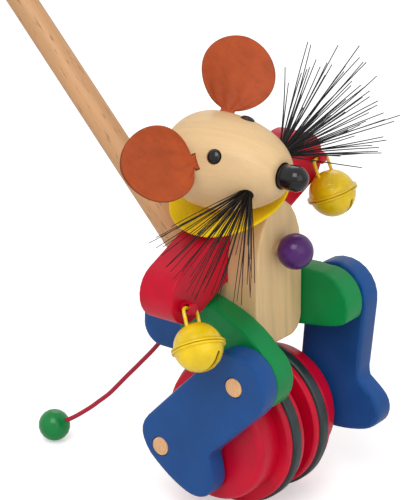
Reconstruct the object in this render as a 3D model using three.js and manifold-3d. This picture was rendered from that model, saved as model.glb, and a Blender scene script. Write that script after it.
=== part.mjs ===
// A wooden push-along mouse on two wheels, with jointed legs, a rocking upper body and a long stick.
// Millimetres, +Z up, the mouse faces -Y and its own left is +X.
import * as THREE from 'three';
import { mergeVertices } from 'three/addons/utils/BufferGeometryUtils.js';
import Module from 'manifold-3d';

const wasm = await Module();
wasm.setup();

const { PI, cos, sin, tan, acos, atan2, hypot, sqrt, pow } = Math;
const degrees = PI / 180;

// Fits, shared by every piece
const seatGap = 0.3; // between two faces that touch on the real toy
const pinClearance = 0.3; // radial, round every dowel
const legClearance = 0.5; // radial, round the dowels that show in the legs
const overrun = 2; // how far a cutting tool runs past the face it cuts
const fineFacets = 28;
const boreFacets = 16;
const quarterFacets = 4;
const edgeFacets = 2;
const curveFacets = 6;

// Wheels, tyres and axle
const wheelSpacing = 9; // clear width between the two wheels
const rimRadius = 39.5;
const rimWidth = 14.5;
const rimEdge = 1.6;
const tyreRadius = 41;
const tyreWidth = 7;
const tyreEdge = 1.8;
const tyreInset = 4; // from the wheel's inner face to the tyre
const grooveDepth = 3.2;
const bossRadius = 33;
const bossLength = 15.2;
const bossEdge = 4;
const axleRadius = 4;
const axleLength = 54;

// Cranks and dowels
const dowelRadius = 5;
const crankRadius = 22.5;
const crankAngles = { right: -10 * degrees, left: 179 * degrees };
const crankDepth = 12;
const dowelProud = 0.3;
const dowelEdge = 0.5;

// Torso and the tongue that carries the axle
const torsoHalfWidth = 20;
const torsoFront = -19.3;
const torsoDepth = 46.3;
const torsoClearance = 8.3; // between its bottom and the tyres
const torsoShoulderDrop = 17; // from the arms' pivot to where the straight sides end
const torsoRise = 19.3; // top above the arms' pivot
const torsoCorner = 10;
const torsoEdge = 1.5;
const hangerThickness = 8;
const hangerHalfDepth = 12;
const hangerTenon = 23;

// Rocking arms
const pivotAboveHip = 46.8;
const rockTilt = 24 * degrees;
const beamThickness = 21.2;
const beamFront = -0.9;
const beamHalfLength = 69.6;
const beamHalfHeight = 14.6;
const beamRise = 1.8; // centre line of the arms above the pivot
const beamEdge = 1.5;

// Thighs and lower legs
const hipDepth = 5.8;
const hipSeat = 10.9; // hip pin above the torso's bottom
const thighLength = 36.25; // hip pin to knee pin
const thighThickness = 14.4;
const thighKneeRadius = 17.8;
const thighBelly = 12.2; // flat underside, below the line of pins
const thighArch = 23.5;
const thighBack = 15;
const thighEdge = 1.5;
const shinLength = 66.2; // knee pin to foot pin
const shinThickness = 12.5;
const shinKneeRadius = 19;
const shinEdge = 2;
const legGap = 0.6;

// Rump, stick and tail
const rumpHalfWidth = 12;
const rumpBack = 62;
const rumpBottom = 33;
const rumpTop = 92;
const rumpCorner = 12;
const rumpShoulder = 15;
const rumpEdge = 2;
const tyreClearance = 2.2;
const stickRadius = 7.5;
const stickLength = 540;
const stickSlope = 47.2 * degrees;
const stickLine = 41; // height at which the stick's axis would cross the wheels' centre plane
const stickStart = 29.5; // along that axis, from there to the stick's lower end
const gripFromEnd = 60;
const beadRadius = 9;
const cordRadius = 1.25;

// The pin that the arms rock on, and the belly ball on a pin of its own
const rockerPinStart = -9.5; // its blind end, in the torso's front cheek
const bellyBallRadius = 9.3;
const bellyHeight = 101.2;
const bellyPinRadius = 4;
const bellyPinBall = 8; // how deep it goes into the ball
const bellyPinTorso = 7;

// Neck, collar and head
const neckRadius = 5;
const neckDepth = 6.5;
const neckFlange = 3.3; // the shoulder that lifts the collar clear of the torso
const neckFlangeRadius = 7.2;
const neckSeat = 9; // how deep it goes into the arms
const neckLength = 14.5; // how far it goes into the head
const collarRadius = 31.4;
const collarThickness = 2;
const headRise = 44.4; // centre line of the head above the pivot
const headRadius = 24.6;
const headCentre = 7.6;
const headFrontLength = 44.5;
const headBackLength = 28;
const snoutRadius = 9;
const snoutEdge = 2;
const noseRadius = 6.5;
const noseLength = 14;
const noseRise = -0.6;
const noseBore = 4;
const eyeRadius = 3.5;
const eyeDepth = 3;
const earLength = 39.5;
const earWidth = 38.5;
const earThickness = 1.8;
const earTab = 6;
const earStem = 8;
const earCup = 3.4;
const earPinch = 2.2; // how much deeper the cup is at the stem

// Whiskers
const whiskerPlugRadius = 3.4;
const whiskerPlugDepth = 4;
const whiskerCount = 150;
const whiskerLength = 56;
const whiskerThickness = 0.5;
const whiskerUneven = 9;
const whiskerFlare = 4;
const whiskerWaves = 5;
const whiskerSpread = 38 * degrees;

// Bells
const bellRadius = 12.5;
const bellWall = 0.9;
const bellFlange = 1.3;
const bellFlangeThickness = 1.2;
const bellDrop = 20.3; // from the peg's cross hole to the bell's centre
const bellSlot = 2.2;
const bellSlotReach = 66 * degrees; // how far the slot climbs each side of the bottom
const pelletRadius = 3.6;
const pegRadius = 3.2;
const pegProud = 6.7;
const pegReach = 61; // along the arm from the pivot
const pegRise = 0.3;
const pegHoleRadius = 2;
const pegHoleFromFace = 3.7;
const loopWire = 0.9;
const loopHalfWidth = 5.8;
const loopBend = 1.9;
const loopFoot = 1.1;

// Colours
const paint = (color) => new THREE.MeshStandardMaterial({ color, roughness: 0.35, metalness: 0 });
const red = paint(0xc7002d);
const blue = paint(0x1e5188);
const green = paint(0x008746);
const purple = paint(0x4b1c69);
const yellowPaint = paint(0xf0cd1e);
const yellowFelt = new THREE.MeshStandardMaterial({ color: 0xfad20f, roughness: 0.8, metalness: 0 });
const paleWood = new THREE.MeshStandardMaterial({ color: 0xe1c396, roughness: 0.55, metalness: 0 });
const beech = new THREE.MeshStandardMaterial({ color: 0xd2a073, roughness: 0.55, metalness: 0 });
const rubber = new THREE.MeshStandardMaterial({ color: 0x192d2d, roughness: 0.5, metalness: 0 });
const black = new THREE.MeshStandardMaterial({ color: 0x0a0a0c, roughness: 0.2, metalness: 0 });
const leather = new THREE.MeshStandardMaterial({ color: 0xaf522d, roughness: 0.7, metalness: 0 });
const cordRed = new THREE.MeshStandardMaterial({ color: 0xaf0a32, roughness: 0.7, metalness: 0 });

// Derived places
const torsoBottom = tyreRadius + torsoClearance;
const hipHeight = torsoBottom + hipSeat;
const pivotHeight = hipHeight + pivotAboveHip;
const torsoShoulder = pivotHeight - torsoShoulderDrop;
const torsoTop = pivotHeight + torsoRise;
const wheelInner = wheelSpacing / 2;
const rimOuter = wheelInner + rimWidth;
const bossFace = rimOuter + bossLength;
const thighInner = torsoHalfWidth + seatGap;
const thighOuter = thighInner + thighThickness;
const shinInner = thighOuter + legGap;
const shinOuter = shinInner + shinThickness;
const torsoBack = torsoFront + torsoDepth;
const beamBack = beamFront + beamThickness;
const beamTop = beamRise + beamHalfHeight;
const slotFloor = pivotHeight - torsoHalfWidth * tan(rockTilt) - (beamHalfHeight - beamRise) / cos(rockTilt);
const collarRise = beamTop + neckFlange + 2 * seatGap;
const headSeat = collarRise + collarThickness + seatGap;

const tidy = (geometry) => {
  const bare = geometry.clone();
  for (const name of Object.keys(bare.attributes)) if (name !== 'position') bare.deleteAttribute(name);
  return mergeVertices(bare, 1e-4);
};

// A closed three.js geometry as a solid, with its faces turned outwards
const solid = (geometry) => {
  const merged = tidy(geometry);
  const corners = merged.attributes.position.array;
  const kept = [];
  const index = merged.index.array;
  for (let i = 0; i < index.length; i += 3) {
    const [a, b, c] = [index[i], index[i + 1], index[i + 2]];
    if (a !== b && b !== c && a !== c) kept.push(a, b, c);
  }
  let volume = 0;
  const at = (i) => new THREE.Vector3().fromArray(corners, 3 * i);
  for (let i = 0; i < kept.length; i += 3) {
    volume += at(kept[i]).dot(at(kept[i + 1]).cross(at(kept[i + 2])));
  }
  if (volume < 0) kept.reverse();
  const triVerts = new Uint32Array(kept);
  const vertProperties = new Float32Array(corners);
  return new wasm.Manifold(new wasm.Mesh({ numProp: 3, vertProperties, triVerts }));
};

const geometryOf = (body) => {
  const mesh = body.getMesh();
  const geometry = new THREE.BufferGeometry();
  geometry.setAttribute('position', new THREE.BufferAttribute(new Float32Array(mesh.vertProperties), 3));
  geometry.setIndex(new THREE.BufferAttribute(new Uint32Array(mesh.triVerts), 1));
  geometry.computeVertexNormals();
  return geometry;
};

const piece = (name, body, material) => {
  const mesh = new THREE.Mesh(geometryOf(body), material);
  mesh.name = name;
  return mesh;
};

const groupOf = (...children) => {
  const group = new THREE.Group();
  group.add(...children);
  return group;
};

// Lays geometry made along +Z so that it runs along the named axis instead
const alongX = new THREE.Matrix4().makeBasis(
  new THREE.Vector3(0, 1, 0), new THREE.Vector3(0, 0, 1), new THREE.Vector3(1, 0, 0));
const alongY = new THREE.Matrix4().makeBasis(
  new THREE.Vector3(0, 0, 1), new THREE.Vector3(1, 0, 0), new THREE.Vector3(0, 1, 0));

// A profile of [distance along the axis, radius] pairs turned round +Z
const turned = (profile, facets = fineFacets) => {
  const points = profile.map(([along, radius]) => new THREE.Vector2(radius, along));
  return new THREE.LatheGeometry(points, facets).rotateX(PI / 2);
};

// A round bar from one place to another along +Z, and the same along X or Y through a point
const bar = (radius, start, end, facets = boreFacets) =>
  turned([[start, 0], [start, radius], [end, radius], [end, 0]], facets);
const barX = (radius, start, end, y, z, facets) =>
  solid(bar(radius, start, end, facets).applyMatrix4(alongX).translate(0, y, z));
const barY = (radius, start, end, x, z, facets) =>
  solid(bar(radius, start, end, facets).applyMatrix4(alongY).translate(x, 0, z));

// A dowel along X with softened ends
const dowelX = (radius, start, end, y, z, edge = dowelEdge) => {
  const profile = [[start, 0], [start, radius - edge], [start + edge, radius],
    [end - edge, radius], [end, radius - edge], [end, 0]];
  return solid(turned(profile, boreFacets).applyMatrix4(alongX).translate(0, y, z));
};

// A board with rounded edges: an outline and its thickness
const board = (outline, thickness, edge, curveSegments = curveFacets) => {
  const geometry = new THREE.ExtrudeGeometry(outline, {
    depth: thickness - 2 * edge,
    bevelEnabled: true,
    bevelThickness: edge,
    bevelSize: edge,
    bevelOffset: -edge,
    bevelSegments: edgeFacets,
    curveSegments,
  });
  return geometry.translate(0, 0, edge);
};

// A quarter round between two directions, as [along, radius] points of a profile
const quarter = (along, radius, size, from, steps = quarterFacets) =>
  Array.from({ length: steps + 1 }, (_, i) => {
    const angle = from + (i / steps) * (PI / 2);
    return [along + size * sin(angle), radius + size * cos(angle)];
  });

const sides = { right: -1, left: 1 };

// Wheels: a grooved rim and a stepped boss, on one axle
const wheelProfile = () => {
  const groove = rimRadius - grooveDepth;
  const tyreStart = wheelInner + tyreInset - seatGap;
  const tyreEnd = wheelInner + tyreInset + tyreWidth + seatGap;
  const bore = axleRadius + pinClearance;
  return [
    [axleLength / 2 + seatGap, 0],
    [axleLength / 2 + seatGap, bore],
    [wheelInner, bore],
    ...quarter(wheelInner + rimEdge, rimRadius - rimEdge, rimEdge, -PI / 2, edgeFacets),
    [tyreStart, rimRadius],
    [tyreStart, groove],
    [tyreEnd, groove],
    [tyreEnd, rimRadius],
    ...quarter(rimOuter - rimEdge, rimRadius - rimEdge, rimEdge, 0, edgeFacets),
    [rimOuter, bossRadius],
    ...quarter(bossFace - bossEdge, bossRadius - bossEdge, bossEdge, 0, edgeFacets),
    [bossFace, 0],
  ];
};

const crankPlace = (side) => {
  const angle = side < 0 ? crankAngles.right : crankAngles.left;
  return { y: crankRadius * cos(angle), z: crankRadius * sin(angle) };
};

const wheel = (name) => {
  const side = sides[name];
  const { y, z } = crankPlace(side);
  const blank = solid(turned(wheelProfile()).applyMatrix4(alongX).rotateZ(side < 0 ? PI : 0));
  const [inner, outer] = [bossFace - crankDepth, bossFace + overrun].map((x) => x * side);
  const hole = barX(dowelRadius + pinClearance, Math.min(inner, outer), Math.max(inner, outer), y, z);
  return piece(`wheel_${name}`, blank.subtract(hole), red);
};

const tyre = (name) => {
  const start = wheelInner + tyreInset;
  const inner = rimRadius - grooveDepth + seatGap;
  const profile = [
    [start, inner],
    ...quarter(start + tyreEdge, tyreRadius - tyreEdge, tyreEdge, -PI / 2, edgeFacets),
    ...quarter(start + tyreWidth - tyreEdge, tyreRadius - tyreEdge, tyreEdge, 0, edgeFacets),
    [start + tyreWidth, inner],
    [start, inner],
  ];
  const ring = turned(profile).applyMatrix4(alongX).rotateZ(sides[name] < 0 ? PI : 0);
  return piece(`tyre_${name}`, solid(ring), rubber);
};

const crankPin = (name) => {
  const side = sides[name];
  const { y, z } = crankPlace(side);
  const [inner, outer] = [bossFace - crankDepth + seatGap, shinInner - seatGap].map((x) => x * side);
  const pin = dowelX(dowelRadius, Math.min(inner, outer), Math.max(inner, outer), y, z);
  return piece(`crank_pin_${name}`, pin, beech);
};

const axle = () => piece('axle', dowelX(axleRadius, -axleLength / 2, axleLength / 2, 0, 0), beech);

// Torso: one block with a slot across it for the arms and a mortise below for the axle's tongue
const torsoOutline = () => {
  const outline = new THREE.Shape();
  const cornerX = torsoHalfWidth - torsoCorner;
  const cornerZ = torsoBottom + torsoCorner;
  outline.moveTo(-cornerX, torsoBottom);
  outline.lineTo(cornerX, torsoBottom);
  outline.absarc(cornerX, cornerZ, torsoCorner, -PI / 2, 0);
  outline.lineTo(torsoHalfWidth, torsoShoulder);
  outline.absellipse(0, torsoShoulder, torsoHalfWidth, torsoTop - torsoShoulder, 0, PI);
  outline.lineTo(-torsoHalfWidth, cornerZ);
  outline.absarc(-cornerX, cornerZ, torsoCorner, PI, 1.5 * PI);
  return outline;
};

const stickPoint = (along) => ({ y: along * cos(stickSlope), z: stickLine + along * sin(stickSlope) });

// A round bar along the stick's axis
const stickBar = (radius, start, end) =>
  solid(bar(radius, start, end, boreFacets).rotateX(stickSlope - PI / 2).translate(0, 0, stickLine));

const torso = () => {
  const block = board(torsoOutline(), torsoDepth, torsoEdge).rotateX(PI / 2).translate(0, torsoBack, 0);
  const slotDepth = beamThickness + 2 * seatGap;
  const slotHeight = torsoTop - slotFloor + overrun;
  const slot = new THREE.BoxGeometry(2 * (torsoHalfWidth + overrun), slotDepth, slotHeight);
  slot.translate(0, beamFront - seatGap + slotDepth / 2, slotFloor - seatGap + slotHeight / 2);
  const mortiseHeight = hangerTenon + seatGap + overrun;
  const mortise = new THREE.BoxGeometry(
    hangerThickness + 2 * seatGap, 2 * (hangerHalfDepth + seatGap), mortiseHeight);
  mortise.translate(0, 0, torsoBottom - overrun + mortiseHeight / 2);
  const pinBore = dowelRadius + pinClearance;
  const past = torsoHalfWidth + overrun;
  const body = solid(block)
    .subtract(solid(slot))
    .subtract(solid(mortise))
    .subtract(barX(pinBore, -past, past, hipDepth, hipHeight))
    .subtract(barY(pinBore, rockerPinStart - seatGap, torsoBack + overrun, 0, pivotHeight))
    .subtract(barY(bellyPinRadius + pinClearance, torsoFront - overrun, torsoFront + bellyPinTorso + seatGap,
      0, bellyHeight))
    .subtract(stickBar(stickRadius + pinClearance, stickStart - seatGap, stickLength));
  return piece('torso', body, paleWood);
};

const axleHanger = () => {
  const outline = new THREE.Shape();
  const top = torsoBottom + hangerTenon;
  outline.moveTo(hangerHalfDepth, 0);
  outline.lineTo(hangerHalfDepth, top);
  outline.lineTo(-hangerHalfDepth, top);
  outline.lineTo(-hangerHalfDepth, 0);
  outline.absarc(0, 0, hangerHalfDepth, PI, 2 * PI);
  const past = hangerThickness / 2 + overrun;
  const blank = board(outline, hangerThickness, dowelEdge).applyMatrix4(alongX).translate(-hangerThickness / 2, 0, 0);
  const body = solid(blank)
    .subtract(barX(axleRadius + pinClearance, -past, past, 0, 0))
    .subtract(barX(dowelRadius + pinClearance, -past, past, hipDepth, hipHeight));
  return piece('axle_hanger', body, beech);
};

// Rump: the blue back that takes the stick and the tail, arched clear of the tyres
const rump = () => {
  const front = torsoBack + seatGap;
  const outline = new THREE.Shape();
  outline.moveTo(front, rumpBottom);
  outline.lineTo(rumpBack - rumpCorner, rumpBottom);
  outline.absarc(rumpBack - rumpCorner, rumpBottom + rumpCorner, rumpCorner, -PI / 2, 0);
  outline.quadraticCurveTo(rumpBack, rumpTop - rumpShoulder, front + rumpShoulder, rumpTop);
  outline.lineTo(front, rumpTop);
  const blank = board(outline, 2 * rumpHalfWidth, rumpEdge).applyMatrix4(alongX).translate(-rumpHalfWidth, 0, 0);
  const past = rumpHalfWidth + overrun;
  const tail = tailRoute()[0];
  const tailBore = bar(cordRadius + pinClearance, -tailSocket, overrun).rotateX(tailDrop).translate(...tail);
  const body = solid(blank)
    .subtract(barX(tyreRadius + tyreClearance, -past, past, 0, 0, fineFacets))
    .subtract(stickBar(stickRadius + pinClearance, 0, stickLength))
    .subtract(solid(tailBore));
  return piece('rump', body, blue);
};

const pushStick = () => {
  const end = stickStart + stickLength;
  const dome = quarter(end - stickRadius, 0, stickRadius, 0);
  const profile = [[stickStart, 0], [stickStart, stickRadius - dowelEdge],
    [stickStart + dowelEdge, stickRadius], ...dome.slice(0, -1), [end, 0]];
  const stick = turned(profile, boreFacets).rotateX(stickSlope - PI / 2).translate(0, 0, stickLine);
  return piece('push_stick', solid(stick), beech);
};

const hipPin = () => piece('hip_pin', dowelX(dowelRadius, -thighOuter, thighOuter, hipDepth, hipHeight), beech);

const rockerPin = () => piece('rocker_pin', barY(dowelRadius, rockerPinStart, torsoBack, 0, pivotHeight), beech);

const bellyBack = torsoFront - seatGap; // where the ball all but touches the torso

const bellyPin = () => {
  const pin = barY(bellyPinRadius, bellyBack - bellyPinBall, torsoFront + bellyPinTorso, 0, bellyHeight);
  return piece('belly_pin', pin, beech);
};

const bellyBall = () => {
  const ball = new THREE.SphereGeometry(bellyBallRadius, fineFacets / 2, fineFacets / 3);
  const bore = barY(bellyPinRadius + pinClearance, bellyBack - bellyPinBall - seatGap, bellyBack + overrun,
    0, bellyHeight);
  const body = solid(ball.translate(0, bellyBack - bellyBallRadius, bellyHeight)).subtract(bore);
  return piece('belly_ball', body, purple);
};

// Tail: a cord that hangs from the rump to a bead on the ground
const tailSocket = 6;
const tailDrop = 40 * degrees; // how far the cord's exit leans back from straight down
const tailRoute = () => [
  [0, 56, 34.3], [0, 58.9, 30.8], [0, 61.8, 27.3], [-1.1, 66.5, 21.4], [-2.3, 70.4, 16.8], [-3.4, 74.3, 12.2],
  [-4.6, 78.3, 7.6], [-5.7, 82.3, 2.9], [-6.9, 86.3, -1.9], [-8, 90.2, -6.4], [-9.2, 93.3, -9.5],
  [-10.3, 96.3, -12.2], [-11.5, 100.3, -15.9], [-12.6, 104.5, -19.3], [-13.8, 108.9, -22.7],
  [-14.8, 113.4, -25.8], [-15.5, 116.4, -27.5],
];

const tailCord = () => {
  const route = tailRoute().map((point) => new THREE.Vector3(...point));
  const section = new THREE.Shape().absarc(0, 0, cordRadius, 0, 2 * PI);
  const cord = new THREE.ExtrudeGeometry(section, {
    steps: 34, extrudePath: new THREE.CatmullRomCurve3(route), curveSegments: 4,
  });
  return piece('tail_cord', solid(cord), cordRed);
};

const tailBead = () => {
  const [last, before] = [tailRoute().at(-1), tailRoute().at(-2)].map((point) => new THREE.Vector3(...point));
  const heading = last.clone().sub(before).normalize();
  const flat = sqrt(beadRadius * beadRadius - cordRadius * cordRadius * 4);
  const centre = last.clone().addScaledVector(heading, flat + seatGap);
  const ball = solid(new THREE.SphereGeometry(beadRadius, fineFacets / 2, fineFacets / 3));
  const trim = solid(bar(2 * cordRadius + overrun, flat, 2 * beadRadius));
  const geometry = geometryOf(ball.subtract(trim));
  const mesh = new THREE.Mesh(geometry, green);
  mesh.name = 'tail_bead';
  mesh.quaternion.setFromUnitVectors(new THREE.Vector3(0, 0, 1), heading.clone().negate());
  mesh.position.copy(centre);
  return mesh;
};

// Legs: where each knee stands, from the hip, the crank and the two pin spacings
const kneePlace = (side) => {
  const foot = crankPlace(side);
  const across = foot.y - hipDepth;
  const down = foot.z - hipHeight;
  const span = hypot(across, down);
  const opening = (thighLength ** 2 + span ** 2 - shinLength ** 2) / (2 * thighLength * span);
  const angle = atan2(down, across) - acos(opening);
  const y = hipDepth + thighLength * cos(angle);
  const z = hipHeight + thighLength * sin(angle);
  return { y, z, thighAngle: angle, shinAngle: atan2(foot.z - z, foot.y - y) };
};

// Each pair is a share of the pin spacing along the board, then a share of the end radius across it
const thighBackShares = [[0.05, 0.66], [-0.26, 0.66], [-0.43, 0.28], [-0.43, -0.3], [-0.36, -0.8], [-0.16, -0.9]];
const shinHeelShares = [[0.94, 0.9], [1.075, 0.88], [1.135, 0.55], [1.148, 0.02]];
const shinToeShares = [[1.13, -0.85], [1.05, -1.42], [1.0, -1.74], [0.93, -1.9], [0.84, -1.83]];
const shinInstepShares = [[0.74, -1.76], [0.7, -1.4], [0.64, -1.08], [0.53, -1.02]];

// The thigh along +X from the hip, its top towards -Y
const thighOutline = () => {
  const at = ([along, across]) => [along * thighLength, across * thighKneeRadius];
  const outline = new THREE.Shape();
  const bellyAngle = Math.asin(thighBelly / thighKneeRadius);
  outline.moveTo(thighLength, -thighKneeRadius);
  outline.absarc(thighLength, 0, thighKneeRadius, -PI / 2, bellyAngle - 14 * degrees);
  const tuck = [thighLength + thighKneeRadius * cos(bellyAngle), thighBelly];
  outline.quadraticCurveTo(...tuck, thighLength, thighBelly);
  outline.lineTo(...at(thighBackShares[0]));
  outline.bezierCurveTo(...at(thighBackShares[1]), ...at(thighBackShares[2]), ...at(thighBackShares[3]));
  outline.quadraticCurveTo(...at(thighBackShares[4]), ...at(thighBackShares[5]));
  outline.quadraticCurveTo(thighLength / 2, -thighArch, thighLength, -thighKneeRadius);
  return outline;
};

const thigh = (name) => {
  const side = sides[name];
  const { thighAngle } = kneePlace(side);
  const start = side < 0 ? -thighOuter : thighInner;
  const blank = solid(board(thighOutline(), thighThickness, thighEdge).applyMatrix4(alongX).translate(start, 0, 0));
  const past = thighOuter + overrun;
  const kneeFloor = thighInner + thighThickness / 3;
  const kneeBore = barX(dowelRadius + pinClearance, Math.min(side * kneeFloor, side * past),
    Math.max(side * kneeFloor, side * past), thighLength, 0);
  const body = blank.subtract(barX(dowelRadius + pinClearance, -past, past, 0, 0)).subtract(kneeBore);
  const pinEnds = [kneeFloor + seatGap, shinOuter + dowelProud].map((x) => x * side).sort((a, b) => a - b);
  const pin = dowelX(dowelRadius, ...pinEnds, thighLength, 0);
  const group = groupOf(piece(`thigh_${name}`, body, green), piece(`knee_pin_${name}`, pin, beech));
  group.position.set(0, hipDepth, hipHeight);
  group.rotation.x = thighAngle;
  return group;
};

// The lower leg along +X from the knee, its heel towards +Y and its toe towards -Y
const shinOutline = () => {
  const at = ([along, across]) => [along * shinLength, across * shinKneeRadius];
  const outline = new THREE.Shape();
  outline.moveTo(0, shinKneeRadius);
  outline.lineTo(...at(shinHeelShares[0]));
  outline.bezierCurveTo(...at(shinHeelShares[1]), ...at(shinHeelShares[2]), ...at(shinHeelShares[3]));
  outline.quadraticCurveTo(...at(shinToeShares[0]), ...at(shinToeShares[1]));
  outline.bezierCurveTo(...at(shinToeShares[2]), ...at(shinToeShares[3]), ...at(shinToeShares[4]));
  outline.bezierCurveTo(...at(shinInstepShares[0]), ...at(shinInstepShares[1]), ...at(shinInstepShares[2]));
  outline.quadraticCurveTo(0.58 * shinLength, -shinKneeRadius, ...at(shinInstepShares[3]));
  outline.lineTo(0, -shinKneeRadius);
  outline.absarc(0, 0, shinKneeRadius, -PI / 2, -1.5 * PI, true);
  return outline;
};

const shin = (name) => {
  const side = sides[name];
  const { y, z, shinAngle } = kneePlace(side);
  const start = side < 0 ? -shinOuter : shinInner;
  const blank = solid(board(shinOutline(), shinThickness, shinEdge).applyMatrix4(alongX).translate(start, 0, 0));
  const past = shinOuter + overrun;
  const bore = dowelRadius + legClearance;
  const body = blank.subtract(barX(bore, -past, past, 0, 0)).subtract(barX(bore, -past, past, shinLength, 0));
  const pinEnds = [shinInner, shinOuter + dowelProud].map((x) => x * side).sort((a, b) => a - b);
  const pin = dowelX(dowelRadius, ...pinEnds, shinLength, 0);
  const group = groupOf(piece(`leg_${name}`, body, blue), piece(`foot_pin_${name}`, pin, beech));
  group.position.set(0, y, z);
  group.rotation.x = shinAngle;
  return group;
};

// Arms: one stadium-shaped board across the torso, bored for its pin, the neck and the bells' pegs
const armBeam = () => {
  const outline = new THREE.Shape();
  const straight = beamHalfLength - beamHalfHeight;
  outline.moveTo(-straight, beamRise - beamHalfHeight);
  outline.lineTo(straight, beamRise - beamHalfHeight);
  outline.absarc(straight, beamRise, beamHalfHeight, -PI / 2, PI / 2);
  outline.lineTo(-straight, beamTop);
  outline.absarc(-straight, beamRise, beamHalfHeight, PI / 2, 1.5 * PI);
  const blank = board(outline, beamThickness, beamEdge).rotateX(PI / 2).translate(0, beamBack, 0);
  const front = beamFront - overrun;
  const back = beamBack + overrun;
  const neckBore = bar(neckRadius + pinClearance, beamTop - neckSeat, beamTop + overrun)
    .translate(0, neckDepth, 0);
  let body = solid(blank)
    .subtract(barY(dowelRadius + pinClearance, front, back, 0, 0))
    .subtract(solid(neckBore));
  for (const side of Object.values(sides)) {
    body = body.subtract(barY(pegRadius + pinClearance, front, back, side * pegReach, pegRise));
  }
  return piece('arm_beam', body, red);
};

const neckPost = () => {
  const [foot, top] = [beamTop - neckSeat + seatGap, headSeat + neckLength];
  const flange = beamTop + seatGap;
  const profile = [[foot, 0], [foot, neckRadius - dowelEdge], [foot + dowelEdge, neckRadius],
    [flange, neckRadius], [flange, neckFlangeRadius], [flange + neckFlange, neckFlangeRadius],
    [flange + neckFlange, neckRadius], [top - dowelEdge, neckRadius], [top, neckRadius - dowelEdge], [top, 0]];
  return piece('neck_post', solid(turned(profile, boreFacets).translate(0, neckDepth, 0)), beech);
};

// Collar: a flat round of felt between the arms and the head
const collar = () => {
  const bore = neckRadius + pinClearance;
  const top = collarRise + collarThickness;
  const ring = turned([[collarRise, bore], [collarRise, collarRadius], [top, collarRadius], [top, bore],
    [collarRise, bore]]).translate(0, neckDepth, 0);
  return piece('collar', solid(ring), yellowFelt);
};

// Head: an egg turned round the Y axis, blunt where the nose stands
const headSize = (y) => {
  const front = y < headCentre;
  const reach = front ? headFrontLength : headBackLength;
  const share = Math.min(1, Math.abs(y - headCentre) / reach);
  const power = front ? headFrontPower : headBackPower;
  return headRadius * sqrt(Math.max(0, 1 - pow(share, power)));
};
const headFrontPower = 2.05;
const headBackPower = 2.2;
const headRings = 15;
const headFacets = 26;

const headProfile = () => {
  const snout = headCentre - headFrontLength * pow(1 - (snoutRadius / headRadius) ** 2, 1 / headFrontPower);
  const back = headCentre + headBackLength;
  const rings = Array.from({ length: headRings }, (_, i) => {
    const turn = (i / headRings) * PI;
    const y = (snout + back) / 2 - ((back - snout) / 2) * cos(turn);
    return [y, headSize(y)];
  });
  return { snout, profile: [[snout, 0], [snout, snoutRadius - snoutEdge], ...rings.slice(1), [back, 0]] };
};

// A point on the head at a place along it and an angle up from its own left, with the outward normal
const onHead = (y, angle) => {
  const step = 0.01;
  const slope = (headSize(y + step) - headSize(y - step)) / (2 * step);
  const radius = headSize(y);
  const normal = new THREE.Vector3(cos(angle), -slope, sin(angle)).normalize();
  return { place: new THREE.Vector3(radius * cos(angle), y, headRise + radius * sin(angle)), normal };
};

// Turns +Z to a direction, at a place
const standing = (place, normal) => {
  const turn = new THREE.Quaternion().setFromUnitVectors(new THREE.Vector3(0, 0, 1), normal);
  return new THREE.Matrix4().compose(place, turn, new THREE.Vector3(1, 1, 1));
};

const eyeAt = { along: -7.4, up: 49 * degrees };
const whiskerAt = { along: -22.9, up: -4 * degrees };
const earAt = { along: 7.5, up: 43 * degrees };
const mirrored = (angle, side) => (side < 0 ? PI - angle : angle);

// Where a cheek's plug is drilled: straight out to the side, a little forwards and down
const whiskerLean = { forward: 8 * degrees, down: 4 * degrees };
const whiskerStand = (side) => {
  const { place } = onHead(whiskerAt.along, mirrored(whiskerAt.up, side));
  const { forward, down } = whiskerLean;
  const out = new THREE.Vector3(side * cos(forward) * cos(down), -sin(forward), -sin(down)).normalize();
  return standing(place, out);
};

const head = () => {
  const plugBore = whiskerPlugRadius + pinClearance;
  const { snout, profile } = headProfile();
  const egg = solid(turned(profile, headFacets).applyMatrix4(alongY).translate(0, 0, headRise));
  const neckBore = bar(neckRadius + pinClearance, headSeat - overrun, headSeat + neckLength + seatGap)
    .translate(0, neckDepth, 0);
  const below = new THREE.BoxGeometry(2 * headRadius, 2 * headRadius, headRadius)
    .translate(0, headCentre, headSeat - headRadius / 2);
  let body = egg
    .subtract(solid(below))
    .subtract(solid(neckBore))
    .subtract(barY(noseRadius + pinClearance, snout - overrun, snout + noseBore, 0, headRise + noseRise));
  for (const side of Object.values(sides)) {
    const eye = onHead(eyeAt.along, mirrored(eyeAt.up, side));
    const eyeHole = bar(eyeRadius + pinClearance, -eyeDepth, overrun);
    const plugHole = turned([[-whiskerPlugDepth, 0], [-whiskerPlugDepth, plugBore], [0, plugBore],
      [whiskerFlare, plugBore + whiskerFlare * tan(whiskerSpread + whiskerLean.down)], [whiskerFlare, 0]], boreFacets);
    body = body
      .subtract(solid(eyeHole.applyMatrix4(standing(eye.place, eye.normal))))
      .subtract(solid(plugHole.applyMatrix4(whiskerStand(side))))
      .subtract(earLeaf(side, seatGap));
  }
  return piece('head', body, paleWood);
};

const nose = () => {
  const { snout } = headProfile();
  const dome = quarter(0, 0, noseRadius, 0).map(([along, radius]) => [snout - noseLength + noseRadius - along, radius]);
  const waist = noseRadius - 2 * seatGap;
  const profile = [[snout + noseBore - seatGap, 0], [snout + noseBore - seatGap, waist], [snout - 2 * seatGap, waist],
    [snout - noseLength / 3, waist], ...dome.slice(0, -1), [snout - noseLength, 0]];
  const body = solid(turned(profile, boreFacets).applyMatrix4(alongY).translate(0, 0, headRise + noseRise));
  return piece('nose', body, black);
};

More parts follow.
